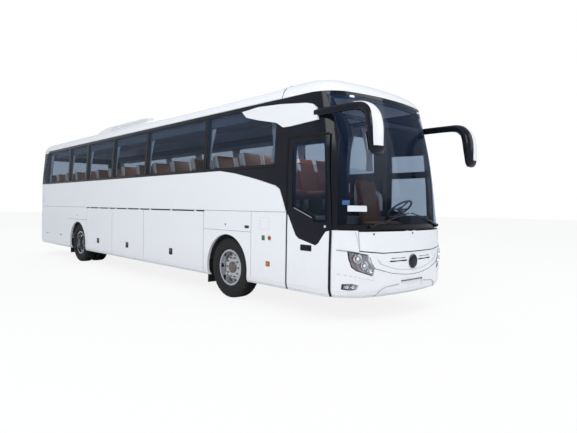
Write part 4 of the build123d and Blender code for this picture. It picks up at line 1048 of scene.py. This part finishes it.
nut_ring = ring_group()
socket_of = {item.name: item.identifier for item in nut_ring.interface.items_tree if item.in_out == "INPUT"}


def ring_form(name, small, count, radius, centre):
    """The plain mesh of a ring of copies, moved to its wheel, as a Form."""
    mesh = bpy.data.meshes.new(name)
    mesh.from_pydata(small.points, [], small.faces)
    carrier = bpy.data.objects.new(name, mesh)
    scene.collection.objects.link(carrier)
    modifier = carrier.modifiers.new("ring", "NODES")
    modifier.node_group = nut_ring
    for label, value in (("Count", count), ("Radius", radius), ("Finish", finishes["wheel_steel"])):
        modifier[socket_of[label]] = value
    graph = bpy.context.evaluated_depsgraph_get()
    plain = bpy.data.meshes.new_from_object(carrier.evaluated_get(graph))
    form = Form()
    form.add([Vector(centre) + vertex.co for vertex in plain.vertices],
             [list(polygon.vertices) for polygon in plain.polygons])
    carrier.modifiers.clear()
    bpy.data.objects.remove(carrier)
    return form


nut_count, nut_radius, bolt_radius, bolt_face = 10, 0.1675, 0.084, 0.017
# For each axle: what its wheels' bodies are called, its place, and how far out the nuts and the hub face sit.
wheel_rows = (("front", "front_wheel", x_front, 0.062, 0.062), ("rear", "rear_wheels", x_rear, -0.098, 0.020))
nut_profile = [(-0.004, 0), (-0.004, 0.0165), (0.016, 0.0165), (0.019, 0.013), (0.019, 0.009), (0.030, 0.009),
               (0.031, 0)]
bolt_profile = [(-0.002, 0), (-0.002, 0.008), (0.007, 0.008), (0.008, 0)]
hub_profile = [(-0.030, 0), (-0.030, 0.100), (0.012, 0.098), (0.018, 0.090), (0.018, 0.074), (0.030, 0.068),
               (0.036, 0.045), (0.038, 0)]
for name, side in sides.items():
    outward, plane = Vector((0, side, 0)), side * wheel_plane
    for axle, wheel, x, nut_face, hub_face in wheel_rows:
        nut, bolt, cap = new_forms(3)
        turned(nut, (Vector(), outward), nut_profile, 6)
        turned(bolt, (Vector(), outward), bolt_profile, 6)
        turned(cap, (Vector((x, plane + side * hub_face, axle_height)), outward), hub_profile, 40)
        nuts = ring_form("nuts", nut, nut_count, nut_radius, (x, plane + side * nut_face, axle_height))
        bolt_place = (x, plane + side * (hub_face + bolt_face), axle_height)
        bolts = ring_form("bolts", bolt, nut_count, bolt_radius, bolt_place)
        pieces((("wheel_nuts_", nuts, "nut_steel", 30), ("hub_cap_", cap, "hub_iron", 30),
                ("hub_bolts_", bolts, "nut_steel", 30)), f"{wheel}_{name}", f"{axle}_{name}")
print("nuts and hub caps done")

# %% [markdown]
# ## Seats
# Each seat is a crowned cushion and a crowned back with a sewn channel down each side. The back ends in a
# headrest with pale side wings, which show through the windows. One form is shaped, then set at all places.

# %% Seats
channel_width, channel_depth = 0.055, 0.010


def pad_form(size, round_by, crown, channels, parts):
    """A crowned pad about its middle, crowned along its thinnest side; channels are shares of Y."""
    half = [s / 2 for s in size]
    thin = min(range(3), key=lambda a: half[a])
    wide = [a for a in range(3) if a != thin]
    along = wide[1] if wide[1] != 1 else wide[0]
    points, faces, index = [], [], {}

    def corner(key):
        if key not in index:
            raw = [half[a] * (2 * c / parts[a] - 1) for a, c in enumerate(key)]
            core = [max(-h + round_by, min(h - round_by, r)) for h, r in zip(half, raw)]
            away = Vector([r - c for r, c in zip(raw, core)])
            point = Vector(core) + (away.normalized() * round_by if away.length > 1e-9 else Vector())
            share = [abs(point[a]) / half[a] for a in range(3)]
            swell = (1 - share[wide[0]] ** 2) * (1 - share[wide[1]] ** 2)
            away_from = [(point.y / half[1] - channel) / channel_width for channel in channels]
            groove = sum(math.exp(-distance ** 2) for distance in away_from)
            push = crown * swell - channel_depth * groove * max(0, 1 - share[along] ** 8)
            point[thin] += math.copysign(push, raw[thin]) if abs(raw[thin]) > 1e-9 else 0
            index[key] = len(points)
            points.append(point)
        return index[key]

    for axis in range(3):
        u, v = [a for a in range(3) if a != axis]
        for end in (0, parts[axis]):
            for i in range(parts[u]):
                for j in range(parts[v]):
                    quad = []
                    for di, dj in ((0, 0), (1, 0), (1, 1), (0, 1)):
                        key = [0, 0, 0]
                        key[axis], key[u], key[v] = end, i + di, j + dj
                        quad.append(corner(tuple(key)))
                    faces.append(quad)
    return points, faces


def set_pad(form, pad, foot, middle=Vector(), tilt=Matrix.Identity(3)):
    """Sets a copy of a pad with its middle at a place that leans about a foot."""
    points, faces = pad
    form.add([foot + tilt @ (middle + p) for p in points], faces)


seat_rows, seat_pitch, seat_first, aisle_half, seat_width = 14, 0.775, x_front + 0.820, 0.215, 0.445
seat_top, cushion_depth, cushion_thickness, back_height, back_thickness = 1.87, 0.43, 0.12, 0.75, 0.095
pad_width, sewn_lines = seat_width - 0.012, (-0.62, 0.62)
cushion_pad = pad_form((cushion_depth, pad_width, cushion_thickness), 0.035, 0.010, sewn_lines, (7, 12, 3))
back_pad = pad_form((back_thickness, pad_width, back_height), 0.036, 0.008, sewn_lines, (3, 12, 12))
wing_pad = pad_form((back_thickness + 0.012, 0.050, 0.25), 0.018, 0.002, (), (2, 3, 5))
back_middle = Vector((back_thickness / 2, 0, back_height / 2))
grip_profile = [(-0.03, 0), (-0.03, 0.012), (0.06, 0.012), (0.06, 0)]
seat_tilt = Matrix.Rotation(-math.radians(17), 3, "Y")
cushions, backs, wings, grips = new_forms(4)
for row in range(seat_rows):
    x = seat_first - row * seat_pitch
    for side in (-1, 1):
        for number in (0, 1):
            y = side * (aisle_half + (number + 0.5) * seat_width)
            cushion_middle = Vector((x - cushion_depth / 2, y, seat_top - cushion_thickness / 2))
            set_pad(cushions, cushion_pad, cushion_middle)
            foot = Vector((x - cushion_depth - back_thickness - 0.004, y, seat_top - cushion_thickness))
            set_pad(backs, back_pad, foot, back_middle, seat_tilt)
            for edge in (-1, 1):
                middle = Vector((back_thickness / 2, edge * (seat_width / 2 - 0.030), back_height - 0.135))
                set_pad(wings, wing_pad, foot, middle, seat_tilt)
        grip_place = (Vector((x - 0.60, side * (aisle_half + 0.02), seat_top + 0.52)), Vector((0, 1, 0)))
        turned(grips, grip_place, grip_profile, 10)
cushion_piece = piece("saloon_cushions", cushions, "brown_leather", "coach", 60)
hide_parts("seat_cushions")
back_piece = piece("saloon_backs", backs, "brown_leather", "coach", 60)
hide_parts("seat_backs")
wing_piece = piece("headrest_wings", wings, "pale_leather", "coach", 60)
piece("aisle_grips", grips, "dark_plastic", "coach", 40)

# %% The driver's seat
driver_x, driver_y, cab_floor = x_front + 2.080, 0.620, 0.900
driver_channels = (-0.58, 0.58)
driver_foot = Vector((driver_x - 0.53, driver_y, cab_floor + 0.38))
driver_tilt = Matrix.Rotation(-math.radians(12), 3, "Y")
driver_wing = pad_form((0.13, 0.055, 0.40), 0.020, 0.002, (), (2, 3, 6))
driver_pads, pedestal = new_forms(2)
set_pad(driver_pads, pad_form((0.48, 0.46, 0.12), 0.038, 0.012, driver_channels, (8, 12, 3)),
        Vector((driver_x - 0.24, driver_y, cab_floor + 0.39)))
set_pad(driver_pads, pad_form((0.11, 0.46, 0.78), 0.040, 0.010, driver_channels, (3, 12, 14)),
        driver_foot, Vector((0.055, 0, 0.39)), driver_tilt)
for edge in (-1, 1):
    set_pad(driver_pads, driver_wing, driver_foot, Vector((0.066, edge * 0.20, 0.30)), driver_tilt)
block(pedestal, (driver_x - 0.36, driver_y - 0.13, cab_floor + 0.0005),
      (driver_x - 0.10, driver_y + 0.13, cab_floor + 0.335))
driver_piece = piece("driver_pads", driver_pads, "brown_leather", "coach", 60)
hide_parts("driver_seat")
piece("driver_pedestal", pedestal, "dark_plastic")
print("seats:", seat_rows * 4 + 1)

# %% [markdown]
# ## Curtains
# At every window post, and at both ends, a grey curtain is gathered: wide at its top, narrow where it is
# tied. It is one sheet of cloth with soft pleats, and its flat width is found from the pleats' own length.

# %% Curtains
curtain_stations = [*posts, 1.11, x_tail + 0.79 - x_front]
across, down, pleats = 36, 22, 7
top, low, tie = 3.080, 2.265, 0.30  # heights, and where the curtain is tied as a share of its length


def curtain(name, x, side):
    """One pleated curtain beside a post, hung just inside the window frame."""
    points, widths = [], []
    for j in range(down + 1):
        z = top + (low - top) * j / down
        share = (z - low) / (top - low)
        above, below = max(0.0, (share - tie) / (1 - tie)), max(0.0, (tie - share) / tie)
        half = 0.062 + 0.135 * above ** 1.3 + 0.020 * below
        inner = half_width - 0.0655 * (z - belt_height) / (band_top - belt_height) - 0.082
        depth = 0.005 + 0.004 * share
        row = []
        for i in range(across + 1):
            u = i / across
            pleat = depth * (1 + math.sin(u * 2 * math.pi * pleats))
            row.append(Vector((x_front + x + 0.02 * share + (2 * u - 1) * half, side * (inner - pleat), z)))
        points += row
        widths.append(sum((b - a).length for a, b in zip(row, row[1:])))
    form = Form()
    form.add(points, grid_faces(down + 1, across + 1))
    cloth = piece(name, form, "curtain_cloth", "coach", 180)
    return cloth


curtains = [curtain(f"curtain_{name}_{number}", x, side)
            for name, side in sides.items() for number, x in enumerate(curtain_stations)]
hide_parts("curtains")
print("curtains:", len(curtains))

# %% [markdown]
# ## Behind the windscreen
# The driver's place has a hooded instrument panel. A blank white card and a small blue one are stuck to the
# screen on the entrance side. Blinds hang rolled up under the header.

# %% Cab details
cab_box, cards, blue, blinds = new_forms(4)
blind_radius, blind_height = 0.032, 2.86
block(cab_box, (x_front + 2.36, 0.36, 1.335), (x_front + 2.56, 0.88, 1.46))
draw(cards, on_nose, [(-1.11, 1.56), (-0.86, 1.56)], 0.080, 0.0015, 0.03)
draw(blue, on_nose, [(-1.155, 1.64), (-1.085, 1.64)], 0.060, 0.0015, 0.03)
for y0, y1 in ((-0.92, -0.06), (0.06, 0.92)):
    place = (Vector((x_front + 2.28, y0, blind_height)), Vector((0, 1, 0)))
    turned(blinds, place, [(0, 0), (0, blind_radius), (y1 - y0, blind_radius), (y1 - y0, 0)], 16)
pieces((("instrument_hood", cab_box, "dark_plastic", None), ("blank_card", cards, "card_white", None),
        ("small_blue_card", blue, "card_blue", None), ("rolled_blinds", blinds, "dark_plastic", 40)))
print("cab done")
